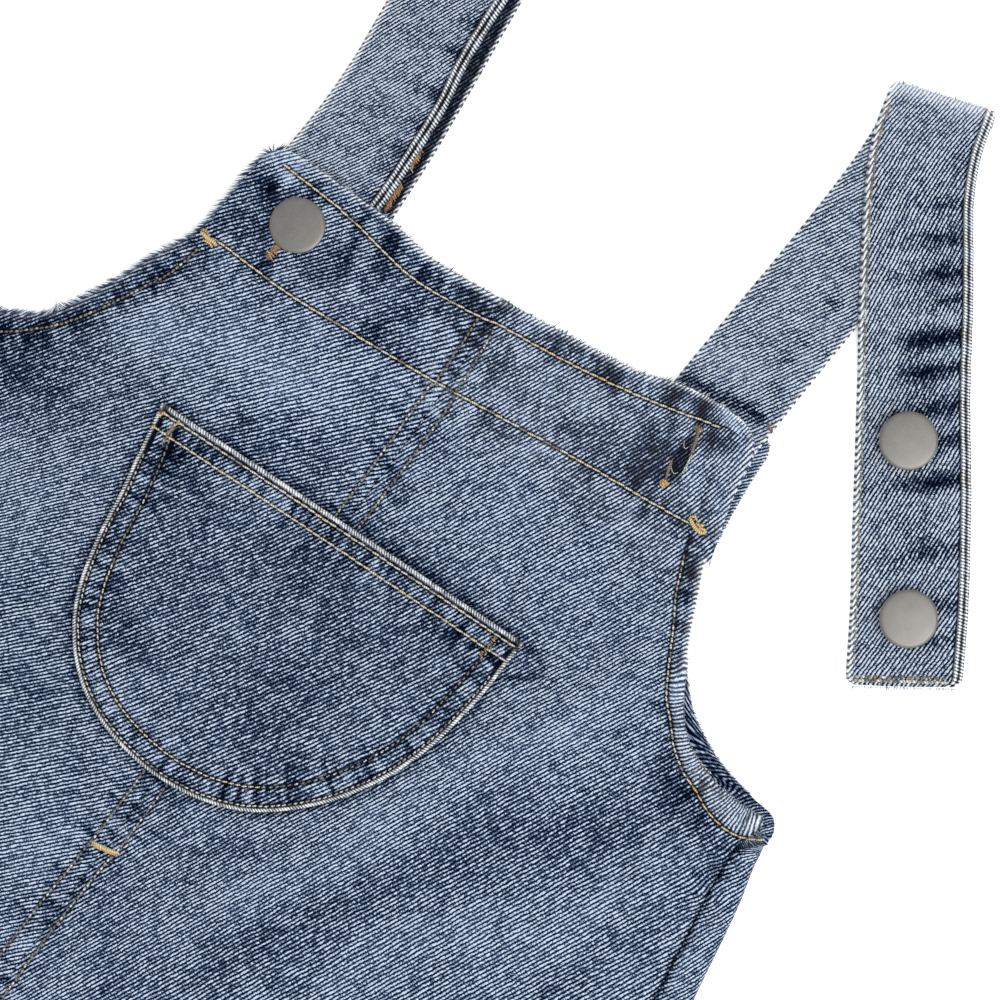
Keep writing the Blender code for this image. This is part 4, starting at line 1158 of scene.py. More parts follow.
def pocket_mesh(outline, inward, from_rim):
    """The pocket's plan in triangles: rings that follow its outline, and a grid within them."""
    rings = [outline]
    for depth in POCKET_RINGS:
        ring = (outline + inward * depth)[::1 if depth < 2.0 else 2]
        rings.append(ring[from_rim(ring) > depth - 0.12])
    low, high = outline.min(0), outline.max(0)
    x, y = np.meshgrid(np.arange(low[0], high[0], 1.7), np.arange(low[1], high[1], 1.5))
    x = x + 0.85 * (np.arange(len(y))[:, None] % 2)
    grid = np.stack([x.ravel(), y.ravel()], 1)
    rings.append(grid[(from_rim(grid) > POCKET_RINGS[-1] + 0.7) & inside_of(grid, outline)])
    count = len(outline)
    loop = [(k, (k + 1) % count) for k in range(count)]
    found = delaunay_2d_cdt([Vector(p) for p in np.concatenate(rings).tolist()], loop, [], 1, 1e-4)
    plan = np.array([tuple(p) for p in found[0]])
    if len(plan) < count or not np.allclose(plan[:count], outline, atol=1e-3):
        raise ValueError("the pocket's outline lost its order")
    return plan, np.array([list(face) for face in found[2]])


def pocket_shell(outer, count, inward, faces):
    """The pocket's two faces and its rounded rim; its first points are the outline."""
    inner = outer - (0.0, 0.0, CLOTH)
    rim = 0.5 * (outer[:count] + inner[:count])
    rim[:, :2] -= 0.25 * inward
    total = len(outer)
    k = np.arange(count)
    after = (k + 1) % count
    ring, ring_after = k + 2 * total, after + 2 * total
    walls = [(after, k, ring), (after, ring, ring_after),
             (ring_after, ring, k + total), (ring_after, k + total, after + total)]
    faces = np.concatenate([faces, faces[:, ::-1] + total] + [np.stack(wall, 1) for wall in walls])
    return np.concatenate([outer, inner, rim]), faces, np.concatenate([np.arange(total), np.arange(total), k])


def pocket(material):
    side = straight(POCKET_LINE, 0.55)
    outline = np.concatenate([side[:-1], straight([POCKET_TOP_RIGHT, POCKET_TOP_LEFT], 0.55)[:-1]])
    edge = Path(np.concatenate([side[::3], side[-1:]]), step=0.8)
    hem = Path([POCKET_TOP_RIGHT, POCKET_TOP_LEFT], step=0.8)
    inward = left_of(unit(np.roll(outline, -1, 0) - np.roll(outline, 1, 0)))

    def from_rim(points):
        return np.minimum(np.abs(edge.near(*points.T)[0]), np.abs(hem.near(*points.T)[0]))

    plan, faces = pocket_mesh(outline, inward, from_rim)
    x, y = plan.T
    by_side, along_side = edge.near(x, y)
    by_hem, along_hem = hem.near(x, y)
    by_side, by_hem = np.abs(by_side), np.abs(by_hem)
    rim = np.minimum(by_side, by_hem)
    along = np.where(by_side < by_hem, along_side, along_hem + 400.0)

    wave = noise(along_hem, by_hem * 0.3, 4.4, 4) * bell(by_hem - 4.5, 4.5)
    wave += noise(along_side, by_side * 0.3, 4.8, 5) * bell(by_side - 4.5, 4.5)
    height = front_height(x, y) + strokes(CREASES, x, y) + GAP + CLOTH + 0.35
    height += 0.35 * (1.0 + noise(x, y, 26.0, 0)) + 0.40 * (1 + noise(x, y, 15.0, 6)) + 0.45 * wave
    height += 0.25 * bell(rim - 0.6, 0.5) - 0.30 * bell(rim, 0.35)
    height += 0.07 * noise(along, rim * 0.5, 0.9, 2) * bell(rim - 0.5, 0.6)
    height += 0.5 * plateau(by_hem, -1.0, 7.0, 1.0)
    height -= sum(0.40 * bell(by_hem - row, 0.7) for row in POCKET_TOP_ROWS)
    height -= sum(0.30 * bell(by_side - row, 0.7) for row in POCKET_SIDE_ROWS)
    # besides random mottling, painted light and shade on the puckers along its rim and top (wave)
    tone = -0.1 + 0.28 * noise(x, y, 24.0, 1) + 0.25 * noise(x, y, 8.0, 7) + 0.85 * wave
    tone += strokes(POCKET_STROKES, x, y) - 1.2 * bell(rim, 1.0) - 0.5 * bell(rim - 1.6, 0.5)
    pale = 1.18 * (1.0 - smoothstep(0.75, 1.15, rim)) * (0.85 + 0.25 * noise(x, y, 2.2, 4))
    lines = twill(x, y, TWILL_ANGLE + 1.0, POCKET_PITCH) - 0.0010 * x * (y + 120.0)
    lines = np.where(rim < 1.2, along / RIM_PITCH + 0.7 * rim, lines)

    points, faces, source = pocket_shell(raised(plan, height), len(outline), inward, faces)
    near_top = 6.0 * (by_hem < 3.0)
    fields = {
        "cloth": vectors(x, y, lines), "wear": vectors(tone, pale, 0.0),
        "seam_a": vectors(by_side - POCKET_SIDE_ROWS[0], by_side - POCKET_SIDE_ROWS[1] + near_top,
                          by_hem - POCKET_TOP_ROWS[0]),
        "run_a": vectors(along_side, along_side, along_hem),
        "seam_b": vectors(by_hem - POCKET_TOP_ROWS[1], SEAM_FAR, SEAM_FAR),
        "run_b": vectors(along_hem, 0.0, 0.0)}
    return piece("pocket_cloth", points, faces, material, "denim_pocket",
                 **{field: values[source] for field, values in fields.items()})


# ------------------------------------------------------------------ the straps
def strap_sections(under, over):
    """Rows of a strap's middle: one run, the fold at the shoulder and the other run."""
    runs = []
    for table in (under, over):
        fine = catmull(table, np.linspace(0.0, len(table) - 1.0, 400))
        run = run_of(fine[:, :2])
        runs.append(read(fine, run, np.linspace(0.0, run[-1], int(run[-1] / STRAP_STEP) + 1)))
    turn, landing = runs[0][-1], runs[1][0]
    radius = 0.5 * (landing[2] - turn[2])
    share = np.arange(1, FOLD_STEPS) / FOLD_STEPS
    arc = turn + (landing - turn) * share[:, None]
    arc[:, :2] += 1.6 * radius * np.sin(math.pi * share)[:, None] * heading(arc[:, 3] + 90.0)
    arc[:, 2] = 0.5 * (turn[2] + landing[2]) - radius * np.cos(math.pi * share)
    return np.concatenate([runs[0], arc, runs[1]]), len(runs[0]), len(runs[0]) + len(arc)


class Strap:
    """A strap's rows, and where each point of its grid lies along and across it."""

    def __init__(self, under, over, look):
        self.look = look
        self.rows, self.fold_from, self.fold_to = strap_sections(under, over)
        rows = self.rows
        rows[:, 2] = np.maximum(rows[:, 2], CLOTH)
        to_end = np.linalg.norm(rows[:, :2] - rows[-1, :2], axis=1)
        to_end[:self.fold_to] = STRAP_END_CORNER
        half = (rows[:, 4] / 2.0 - 0.6 * corner_inset(to_end, STRAP_END_CORNER))[:, None]
        edges = 1.0 - np.array(STRAP_COLUMNS) / 15.5
        shares = np.concatenate([-edges, np.linspace(-edges[-1], edges[-1], 16)[1:-1], edges[::-1]])[None]
        self.across = shares * half
        self.from_left, self.from_right = half * (1.0 + shares), half * (1.0 - shares)
        plan = rows[:, None, :2] + self.across[..., None] * heading(rows[:, 3])[:, None]
        self.middle = raised(plan, np.broadcast_to(rows[:, 2:3], self.across.shape))
        self.along = run_of(rows[:, :3])
        self.run = np.broadcast_to(self.along[:, None], self.across.shape)
        self.over = (np.arange(len(rows)) >= self.fold_from)[:, None]

    def strokes(self, table):
        return strokes(table, self.middle[..., 0], self.middle[..., 1])

    def weave(self):
        """How far each row climbs the cloth, and the weave's lines, which turn back at the fold."""
        under_angle, under_pitch, over_angle, end_angle, over_pitch, end_pitch = self.look["weave"]
        along = self.along
        share = np.clip((along - along[self.fold_from]) / (along[-1] - along[self.fold_from]), 0.0, 1.0)
        over = np.arange(len(along)) >= self.fold_from + FOLD_STEPS // 2
        angle = np.radians(np.where(over, over_angle + (end_angle - over_angle) * share, under_angle))
        pitch = np.where(over, over_pitch + (end_pitch - over_pitch) * share, under_pitch)
        climb = np.where(over[1:], -1.0, 1.0) * np.diff(along)
        count = np.concatenate([[0.0], np.cumsum(climb * (np.cos(angle) / pitch)[1:])])
        lines = count[:, None] - self.across * (np.sin(angle) / pitch)[:, None]
        beads_from, beads_to = self.look["beads"]
        beads = (self.from_right > beads_from) & (self.from_right < beads_to) & self.over
        lines = np.where(beads, self.run / BEAD_PITCH + 0.35 * self.from_right, lines)
        return np.concatenate([[0.0], np.cumsum(climb)]), lines

    def form(self):
        """What stands up on a strap, its tone with painted light and shade on its puckers and wrinkles, its
        pale worn edges, paler at the fold, and the painted shade in its grooves.
        """
        run, across, from_left, from_right = self.run, self.across, self.from_left, self.from_right
        wave = noise(run, across * 0.25, 5.5, 3) * (0.4 + 0.6 * smoothstep(-4.0, 12.0, across))
        relief = 0.22 * wave + 0.20 * bell(from_left - 0.8, 0.8) - 0.20 * bell(from_left - 2.0, 0.6)
        # painted light and shade on the puckers (wave)
        tone = 0.35 * wave + 0.20 * noise(run, across, 14.0, 5) + self.strokes(self.look["over_strokes"])
        pale = 1.12 * bell(from_left - 0.4, 0.55)
        dark = np.zeros(across.shape)
        rope = noise(run, from_right * 0.5, 0.9, 2)
        for place, spread in self.look["ropes"]:
            relief += (0.32 + 0.10 * rope) * bell(from_right - place, 1.3 * spread)
            pale += 1.25 * bell(from_right - place, spread)
        dotted = 0.85 + 0.45 * noise(run, 0.0 * run, 1.1, 3)
        # the grooves between the ropes get painted shade
        for place, spread in self.look["grooves"]:
            relief -= 0.45 * bell(from_right - place, 1.3 * spread)
            tone -= 2.4 * bell(from_right - place, spread)
            dark += 0.80 * dotted * bell(from_right - place, 0.75 * spread)
        # painted shade in each wrinkle's trough and painted light beside it
        for x, y, depth in self.look["wrinkles"]:
            share, off = self.wrinkle(x, y, depth)
            relief += share * (0.32 * bell(off - 4.5, 2.6) - 0.50 * bell(off, 2.0))
            tone += share * (0.5 * bell(off - 5.0, 2.5) - 1.8 * bell(off, 2.6))
        relief -= 0.45 * bell(np.minimum(from_left, from_right), 0.4)
        relief -= 0.45 * bell(np.minimum(run, self.along[-1] - run), 0.5)
        at_fold = run - 0.5 * (self.along[self.fold_from] + self.along[self.fold_to - 1])
        tone += (0.30 * bell(at_fold, 5.0) + 1.9 * bell(at_fold - 1.0, 2.2)) * self.over
        pale = np.minimum(pale + 0.6 * bell(at_fold - 0.8, 2.6), 1.2)
        return relief, vectors(tone, pale, np.clip(dark, 0.0, 0.95) * self.over)

    def wrinkle(self, x, y, depth):
        """How strong a wrinkle through a place is, and how far each point lies past it."""
        far = np.linalg.norm(self.middle[self.fold_to:, :, :2] - (x, y), axis=2)
        row, column = np.unravel_index(far.argmin(), far.shape)
        row += self.fold_to
        off = self.run - self.along[row] + 0.12 * (self.across - self.across[row, column])
        return depth * (0.2 + 0.8 * smoothstep(*self.look["reach"], self.across)), off

    def inner_wear(self):
        """The tone, with painted shade where the upper run shades it, the pale worn edges and the painted
        shade along the right edge of the face that shows where the strap is folded.
        """
        # painted shade on the lower run, with a painted shadow at the bib's edge and painted light and shade
        # on dimples
        tone = self.look["under_tone"] + 0.15 * noise(self.run, self.across, 9.0, 6)
        tone = tone + self.strokes(self.look["under_light_and_shade"])
        # painted shade along the lower run's right edge, beneath the upper run
        dark = self.look["edge_dark"] * plateau(self.from_right, 0.9, 8.0, 0.5)
        dark = dark * (1.0 + 0.12 * noise(self.run, self.across, 0.9, 1))
        pale = 1.05 * bell(self.from_right - 0.1, 0.45) + 0.35 * bell(self.from_left - 0.1, 0.4)
        return vectors(tone, pale, dark)

    def make(self, name, material):
        relief, wear = self.form()
        height, lines = self.weave()
        normals = grid_normals(self.middle)
        upper = self.middle + normals * (CLOTH + 0.75 * (relief - 0.2))[..., None]
        thickness = DOUBLED - 0.15 + 0.5 * np.clip(relief, -0.6, 0.2)
        points, faces, source = shell(upper, thickness, normals=normals)
        count = self.across.size
        wear = wear[source]
        wear[count:2 * count] = self.inner_wear()
        cloth = vectors(self.across, height[:, None], lines)[source]
        return piece(name, points, faces, material, "denim_straps", wear=wear, cloth=cloth,
                     **no_seams(len(source)))


# ------------------------------------------------------------------ the buttons
def button(name, material):
    """A tack button: a flat cap with a thin rolled rim, its stem and its foot."""
    x, y, z = BUTTON_PLACES[name]
    shift_x, shift_y = BUTTON_SHIFTS.get(name, (0.0, 0.0))
    foot = z - CLOTH + 0.05
    cap = z + CLOTH + DOUBLED + 2.0 * GAP
    rim = BUTTON_SIZES.get(name, 1.0) * BUTTON_DIAMETER / 2.0
    profile = [(share * rim, cap + height) for share, height in CAP_PROFILE]
    profile += [(2.3, cap), (2.3, foot + 0.7), (4.8, foot + 0.6), (4.8, foot + 0.1), (4.5, foot)]
    centre = np.array([x + shift_x, y + shift_y])
    circle = heading(np.linspace(0.0, 360.0, BUTTON_STEPS, endpoint=False))
    rings = [raised(centre + radius * circle, np.full(BUTTON_STEPS, height)) for radius, height in profile]
    points = np.concatenate(rings + [[(*centre, cap + CAP_CROWN), (*centre, foot)]])
    k = np.arange(BUTTON_STEPS)
    after = (k + 1) % BUTTON_STEPS
    faces = []
    for ring in range(len(profile) - 1):
        first, second = ring * BUTTON_STEPS, (ring + 1) * BUTTON_STEPS
        faces += np.stack([k + first, k + second, after + second, after + first], 1).tolist()
    crown, base = np.full(BUTTON_STEPS, len(points) - 2), np.full(BUTTON_STEPS, len(points) - 1)
    last = (len(profile) - 1) * BUTTON_STEPS
    faces += np.stack([crown, k, after], 1).tolist() + np.stack([base, after + last, k + last], 1).tolist()
    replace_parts(piece(name + "_cap", points, faces, material, "button_metal"), name)


# ------------------------------------------------------------------ the threads
class Thread:
    """Gathers stitches that lie on a cloth piece into one joined mesh."""

    def __init__(self, name, cloth, seed):
        mesh = cloth.data
        self.name = name
        self.tree = BVHTree.FromPolygons([v.co for v in mesh.vertices],
                                         [tuple(p.vertices) for p in mesh.polygons])
        self.random = np.random.default_rng(seed)
        self.points, self.faces, self.cord = [], [], []
        self.count = 0

    def surface(self, plan):
        """Heights of the cloth's upper face at points of the lay frame."""
        heights = []
        for x, y in plan:
            start = Vector(((x - CENTRE_X) * MM, (y - ORIGIN_Y) * MM, RAY_FROM))
            hit = self.tree.ray_cast(start, Vector((0.0, 0.0, -1.0)))[0]
            heights.append(hit.z / MM if hit else (heights[-1] if heights else FRONT_REST))
        return np.array(heights)

    def tube(self, plan, height, thickness, tint, sides=6):
        """One stitch along a line of points, thinner at its ends."""
        line = raised(plan, height)
        tangent = unit(np.gradient(line, axis=0))
        side = unit(np.cross(tangent, (0.0, 0.0, 1.0)))
        up = np.cross(side, tangent)
        rows = len(line)
        share = np.linspace(0.0, 1.0, rows)
        thick = thickness / 2.0 * (0.45 + 0.55 * np.sin(math.pi * np.clip(share, 0.02, 0.98)) ** 0.45)
        around = np.arange(sides) / sides
        circle = heading(360.0 * around)
        ring = side[:, None] * circle[None, :, :1] + up[:, None] * circle[None, :, 1:]
        self.points.append((line[:, None] + ring * thick[:, None, None]).reshape(-1, 3))
        self.cord.append(vectors(around, run_of(line)[:, None] + self.random.uniform(0, 1), tint))
        k = np.arange(sides)
        after = (k + 1) % sides
        for row in range(rows - 1):
            a, b = self.count + row * sides, self.count + (row + 1) * sides
            self.faces += np.stack([k + a, after + a, after + b, k + b], 1).tolist()
        self.faces.append((self.count + k[::-1]).tolist())
        self.faces.append((self.count + (rows - 1) * sides + k).tolist())
        self.count += rows * sides

    def row(self, path, tint, stitch=STITCH, cover=0.9, start=0.0, end=None, thread=THREAD, sink=0.0,
            vary=0.10):
        """Topstitching along a path: each stitch comes up, lies on the cloth and goes down."""
        end = path.length if end is None else end
        count = max(int(round((end - start) / stitch)), 1)
        step = (end - start) / count
        share = np.linspace(-1.0, 1.0, 7)
        for index in range(count):
            low = start + index * step + step * (1.0 - cover) / 2.0 * self.random.uniform(0.5, 1.5)
            plan, ahead = path.at(np.linspace(low, low + step * cover, 7))
            plan = plan + left_of(ahead) * (0.096 * share + self.random.normal(0.0, 0.05))[:, None]
            height = self.surface(plan) + thread * (0.42 - 0.75 * np.abs(share) ** 3) - sink
            self.tube(plan, height, thread * self.random.uniform(0.9, 1.1),
                      (tint + self.random.normal(0.0, vary)) % 1.0)

    def strand(self, points, thickness, tint, lift=0.5):
        """One thick strand that lies on the cloth along a curve."""
        path = Path(points)
        plan = path.at(np.linspace(0.0, path.length, 12))[0]
        height = self.surface(plan) + thickness * (lift - 0.5 * np.abs(np.linspace(-1.0, 1.0, 12)) ** 3)
        self.tube(plan, height, thickness, tint, sides=8)

    def near_tint(self, tint):
        return np.clip(tint + self.random.normal(0.0, 0.12), 0.0, 1.0)

    def bow(self, start, end, width, tint, strands, thread):
        """A bar tack of a few long strands that bulge apart, with two wraps round their middle."""
        middle, whole = 0.5 * np.add(start, end), np.subtract(end, start)
        across = left_of(unit(whole))
        share = np.linspace(-1.0, 1.0, 9)
        for strand in np.linspace(-0.5, 0.5, strands):
            bulge = (strand + self.random.normal(0.0, 0.06)) * width * (1.0 - 0.75 * share ** 2)
            plan = middle + np.outer(share * 0.5, whole) * self.random.uniform(0.85, 1.05)
            plan = plan + np.outer(bulge, across)
            height = self.surface(plan).max() + thread * (0.55 - 0.55 * share ** 2 - 0.5 * abs(strand))
            self.tube(plan, height, thread, self.near_tint(tint))
        for slip in (-0.12, 0.10):
            plan = middle + slip * whole + np.outer(share * 0.55 * width, across)
            self.tube(plan, self.surface(plan).max() + thread * (0.95 - 0.95 * share ** 2), thread, tint)

    def bar(self, start, end, width, tint, step=0.5, thread=0.5, slant=0.25):
        """A bar tack: short stitches packed square to the line from start to end."""
        whole = np.subtract(end, start)
        along = whole / np.linalg.norm(whole)
        across = left_of(along)
        share = np.linspace(-1.0, 1.0, 5)
        for index in range(int(np.linalg.norm(whole) / step) + 1):
            half = across * width / 2.0 * self.random.uniform(0.55, 1.3)
            half = half + along * (slant + self.random.normal(0.0, 0.15))
            middle = start + along * index * step + across * self.random.normal(0.0, 0.12)
            plan = middle + half * share[:, None]
            height = self.surface(plan).mean() + thread * (0.75 - 0.7 * share ** 2)
            self.tube(plan, height, thread, self.near_tint(tint))

    def make(self, material):
        piece(self.name, np.concatenate(self.points), self.faces, material, "thread",
              cord=np.concatenate(self.cord))


class Fringe:
    """Yarn ends that stand out along edges, gathered into one joined mesh."""

    def __init__(self, name, slot, seed):
        self.name, self.slot = name, slot
        self.random = np.random.default_rng(seed)
        self.points, self.cord, self.faces = [], [], []

    def edge(self, line, outward, spacing, length, dark_share, spread=0.30, thick=0.20, comb=None,
             lean=0.35):
        """Spikes along a line of points, between its outward side and the twill's slant (comb)."""
        run = run_of(line)
        places = np.arange(0.0, run[-1], spacing)
        places = places + self.random.uniform(-0.3, 0.3, len(places)) * spacing
        way = read(outward, run, places)
        if comb is not None:
            slant = heading(np.interp(places, run, np.broadcast_to(comb, len(line))))
            way = unit(lean * way + slant * (way * slant).sum(1, keepdims=True))
        way = way + self.random.normal(0.0, spread, way.shape) * np.linalg.norm(way, axis=1, keepdims=True)
        for (x, y, z), ahead in zip(read(line, run, places), way):
            reach = length * self.random.uniform(0.35, 1.15)
            dark = self.random.uniform() < dark_share
            tint = self.random.uniform(0.0, 0.35) if dark else self.random.uniform(0.6, 1.0)
            width = thick * self.random.uniform(0.7, 1.2)
            foot = (x, y) - ahead * 0.3
            side = left_of(ahead) * width
            k = len(self.points)
            self.points += [(*(foot + side), z), (*(foot - side), z), (*foot, z + 1.4 * width),
                            (*((x, y) + ahead * reach), z + self.random.uniform(-0.1, 0.15))]
            self.faces += [(k, k + 2, k + 1), (k, k + 1, k + 3), (k + 1, k + 2, k + 3), (k + 2, k, k + 3)]
            self.cord += [(0.0, 0.0, tint)] * 4

    def make(self, material):
        piece(self.name, self.points, self.faces, material, self.slot, smooth=False, cord=self.cord)


# =================================================================== materials
class Value:
    """A value in a material, which adds and multiplies by way of shader nodes."""

    def __init__(self, nodes, socket):
        self.nodes, self.socket = nodes, socket

    def __add__(self, other):
        return self.nodes.math("ADD", self, other)

    def __sub__(self, other):
        return self.nodes.math("SUBTRACT", self, other)

    def __mul__(self, other):
        return self.nodes.math("MULTIPLY", self, other)

    def __pow__(self, other):
        return self.nodes.math("POWER", self, other)

    def scaled(self, factor, shift):
        return self.nodes.math("MULTIPLY_ADD", self, factor, shift)


class Nodes:
    """Short names for the shader nodes of one material."""

    def __init__(self, name):
        self.material = bpy.data.materials.new(name)
        self.material.use_nodes = True
        self.tree = self.material.node_tree

    def add(self, kind, *inputs, output=0, **settings):
        """A node with its first inputs set, given by one of its outputs."""
        node = self.tree.nodes.new(kind)
        for key, value in settings.items():
            setattr(node, key, value)
        for socket, value in zip(node.inputs, inputs):
            self.set(socket, value)
        return Value(self, node.outputs[output])

    def set(self, socket, value):
        if isinstance(value, Value):
            self.tree.links.new(value.socket, socket)
        elif value is not None:
            socket.default_value = value

    def shade(self, **values):
        """Set the shader's own inputs, named by their words; gives the material."""
        shader = self.tree.nodes["Principled BSDF"]
        for name, value in values.items():
            self.set(shader.inputs[SHADER_INPUTS[name]], value)
        return self.material

    def math(self, operation, *values):
        return self.add("ShaderNodeMath", *values, operation=operation)

    def noise(self, vector, scale, detail=2.0, roughness=0.5):
        return self.add("ShaderNodeTexNoise", vector, None, scale, detail, roughness)

    def chance(self, dimensions, vector, w):
        return self.add("ShaderNodeTexWhiteNoise", vector, w, noise_dimensions=dimensions)

    def field(self, name):
        return self.add("ShaderNodeAttribute", attribute_name=name, output="Vector")

    def parts(self, vector):
        node = self.add("ShaderNodeSeparateXYZ", vector).socket.node
        return [Value(self, socket) for socket in node.outputs]

    def vector(self, *values):
        return self.add("ShaderNodeCombineXYZ", *values)

    def range(self, value, low, high, at_low, at_high):
        return self.add("ShaderNodeMapRange", value, low, high, at_low, at_high)

    def wave(self, value):
        """0 to 1 and back, once for each whole step of the value."""
        return self.math("COSINE", value * (2.0 * math.pi)).scaled(0.5, 0.5)

    def ramp(self, value, stops):
        colour = self.add("ShaderNodeValToRGB", value, output="Color")
        elements = colour.socket.node.color_ramp.elements
        while len(elements) < len(stops):
            elements.new(0.5)
        for element, (place, rgb) in zip(elements, stops):
            element.position = place
            element.color = (*rgb, 1.0)
        return colour

    def mix(self, share, first, second, blend="MIX"):
        mixed = self.add("ShaderNodeMix", share, data_type="RGBA", blend_type=blend, output=2)
        for socket, colour in zip(mixed.socket.node.inputs[6:8], (first, second)):
            self.set(socket, colour if isinstance(colour, Value) else (*colour, 1.0))
        return mixed

    def bump(self, height, strength, distance):
        bumped = self.add("ShaderNodeBump", strength, distance)
        self.set(bumped.socket.node.inputs["Height"], height)
        return bumped


def seam_shading(n):
    """Painted shade in the grooves along the rows of stitches, and painted light and shade on the puckers
    beside them.
    """
    grooves, puckers = 0.0, 0.0
    for field, runs, depth in (("seam_a", "run_a", 1.0), ("seam_b", "run_b", 0.60)):
        for away, run in zip(n.parts(n.field(field)), n.parts(n.field(runs))):
            far = n.math("ABSOLUTE", away)
            near = n.range(far, GROOVE_FROM, GROOVE_TO, depth, 0.0)
            reach = n.range(far, 0.0, PUCKER_REACH, 1.0, 0.0)
            place = n.vector(run * (1.0 / PUCKER_SIZE), away * 0.07, 0.0)
            grooves = n.math("MAXIMUM", grooves, near)
            puckers = n.math("ADD", puckers, (n.noise(place, 1.0, 1.0) - 0.5) * reach)
    return grooves, puckers


def dashed_lines(n, cloth, flat, across):
    """The weave: slanting lines, and the dashes that each of them is broken into."""
    angle = math.radians(TWILL_ANGLE)
    along = n.add("ShaderNodeVectorMath", cloth, (math.cos(angle), math.sin(angle), 0.0),
                  operation="DOT_PRODUCT", output="Value")
    line = across + n.noise(flat, 0.085) + n.noise(flat, 0.45, 3.0) * 0.50
    lines = n.wave(line)
    number = n.math("FLOOR", line + 0.5)
    place = along * (1.0 / KNOT_LENGTH) + n.chance("1D", None, number) + n.noise(flat, 0.7, 1.0) * 2.4
    knots = n.wave(place) ** 0.40
    knot = n.math("FLOOR", place + 0.5)
    bright = n.chance("2D", n.vector(number, knot, 0.0), None).scaled(0.70, 0.66)
    return lines, lines * knots.scaled(0.55, 0.45) * bright


def denim(name, tone_shift, contrast, warmth):
    """Washed denim: slanting lines of pale dashes with navy between them."""
    n = Nodes(name)
    cloth = n.field("cloth")
    cloth_x, cloth_y, across = n.parts(cloth)
    flat = n.vector(cloth_x, cloth_y, 0.0)
    # tone with painted light and shade, pale worn edges, and painted shade that darkens to near black
    tone_and_shade, pale, dark = n.parts(n.field("wear"))
    lines, dashes = dashed_lines(n, cloth, flat, across)
    grooves, puckers = seam_shading(n)
    grain = n.noise(flat, 2.4, 2.0, 0.75)
    tone = tone_and_shade + n.noise(flat, 0.11, 3.0, 0.6) * 0.9 + n.noise(flat, 0.30, 3.0, 0.65) * 0.75
    # painted shade in the stitches' grooves and painted light and shade on their puckers
    tone = tone + grooves * -0.9 + puckers * 7.5 + (-0.86 + tone_shift)
    strength = n.noise(flat, 0.16).scaled(0.7, contrast - 0.35)
    soft = strength * n.math("ABSOLUTE", tone).scaled(-0.16, 1.0)
    weave = dashes * 1.08 + grain * 2.3 + -1.48
    colour = n.ramp(weave * soft + tone * 0.165 + pale * 0.10 + BASE_VALUE, DENIM_COLOURS)
    beads = n.range(n.noise(flat, 1.5, 2.0, 0.6), 0.34, 0.56, 0.25, 1.0)
    thin = (lines ** 1.5).scaled(0.92, 0.08) * beads
    whole = n.math("MAXIMUM", pale - 1.0, 0.0) * 1.4
    bleached = n.math("MINIMUM", pale.scaled(thin, whole), 1.0)
    colour = n.mix(bleached, colour, (0.90, 0.93, 0.94))
    # painted shade from the dark channel and the grooves mixes the colour towards near black
    colour = n.mix(n.math("MAXIMUM", dark, grooves * 0.86), colour, (0.002, 0.003, 0.008))
    relief = dashes * 0.8 + grain * 0.4 + grooves * -1.2 + puckers * 9.0
    return n.shade(colour=n.mix(1.0, colour, warmth, "MULTIPLY"), normal=n.bump(relief, 0.6, 0.00028),
                   roughness=lines.scaled(-0.10, 0.95), specular=0.02, sheen=0.006, sheen_roughness=0.5)


def thread_material():
    """Twisted cotton thread, from pale gold to orange."""
    n = Nodes("topstitch_thread")
    cord = n.field("cord")
    around, along, tint = n.parts(cord)
    twist = n.wave(along * (1.0 / 0.62) + around)
    fuzz = n.noise(cord, 6.0)
    shade = twist.scaled(0.75, fuzz.scaled(0.6, -0.02))
    colour = n.mix(0.9, n.ramp(tint, THREAD_COLOURS), n.vector(shade, shade, shade), "MULTIPLY")
    return n.shade(colour=colour, normal=n.bump(twist, 0.6, 0.0002), roughness=fuzz.scaled(0.3, 0.45),
                   sheen=0.2)


def pewter_material():
    """Matt antique metal with a very fine grain."""
    n = Nodes("button_pewter")
    place = n.add("ShaderNodeTexCoord", output="Object")
    pits = n.noise(place, 2200.0)
    colour = n.ramp(n.noise(place, 300.0) * 0.35 + pits * 0.65, PEWTER_COLOURS)
    return n.shade(colour=colour, roughness=pits.scaled(0.2, 0.36), normal=n.bump(pits, 0.08, 0.0001),
                   metallic=0.9)


def fray_material():
    """Loose ends of the yarn along cut and worn edges."""
    n = Nodes("frayed_yarn")
    tint = n.parts(n.field("cord"))[2]
    return n.shade(colour=n.ramp(tint, FRAY_COLOURS), roughness=tint.scaled(0.1, 0.85), specular=0.1)


# ================================================================= the garment
BODY_DENIM = denim("denim_body", -0.15, 1.10, (1.0, 1.0, 1.0))
POCKET_DENIM = denim("denim_pocket", -0.33, 1.04, (0.985, 0.98, 0.97))
STRAP_DENIM = denim("denim_straps", 0.50, 1.22, (1.04, 1.0, 0.955))
GOLD_THREAD = thread_material()
PEWTER = pewter_material()
FRAY = fray_material()

shown = {}
for node, side in (("front_left", -1), ("front_right", 1)):
    shown[node] = front_panel(node + "_cloth", side, BODY_DENIM)
for node, side in (("back_left", -1), ("back_right", 1)):
    shown[node] = back_panel(node + "_cloth", side, BODY_DENIM)
shown["pocket"] = pocket(POCKET_DENIM)
left_strap = Strap(STRAP_LEFT_UNDER, STRAP_LEFT_OVER, STRAP_LOOKS["left"])
right_strap = Strap(STRAP_RIGHT_UNDER, STRAP_RIGHT_OVER, STRAP_LOOKS["right"])
shown["strap_left"] = left_strap.make("strap_left_cloth", STRAP_DENIM)
shown["strap_right"] = right_strap.make("strap_right_cloth", STRAP_DENIM)
for node, made in shown.items():
    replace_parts(made, node)
for name in BUTTON_PLACES:
    button(name, PEWTER)


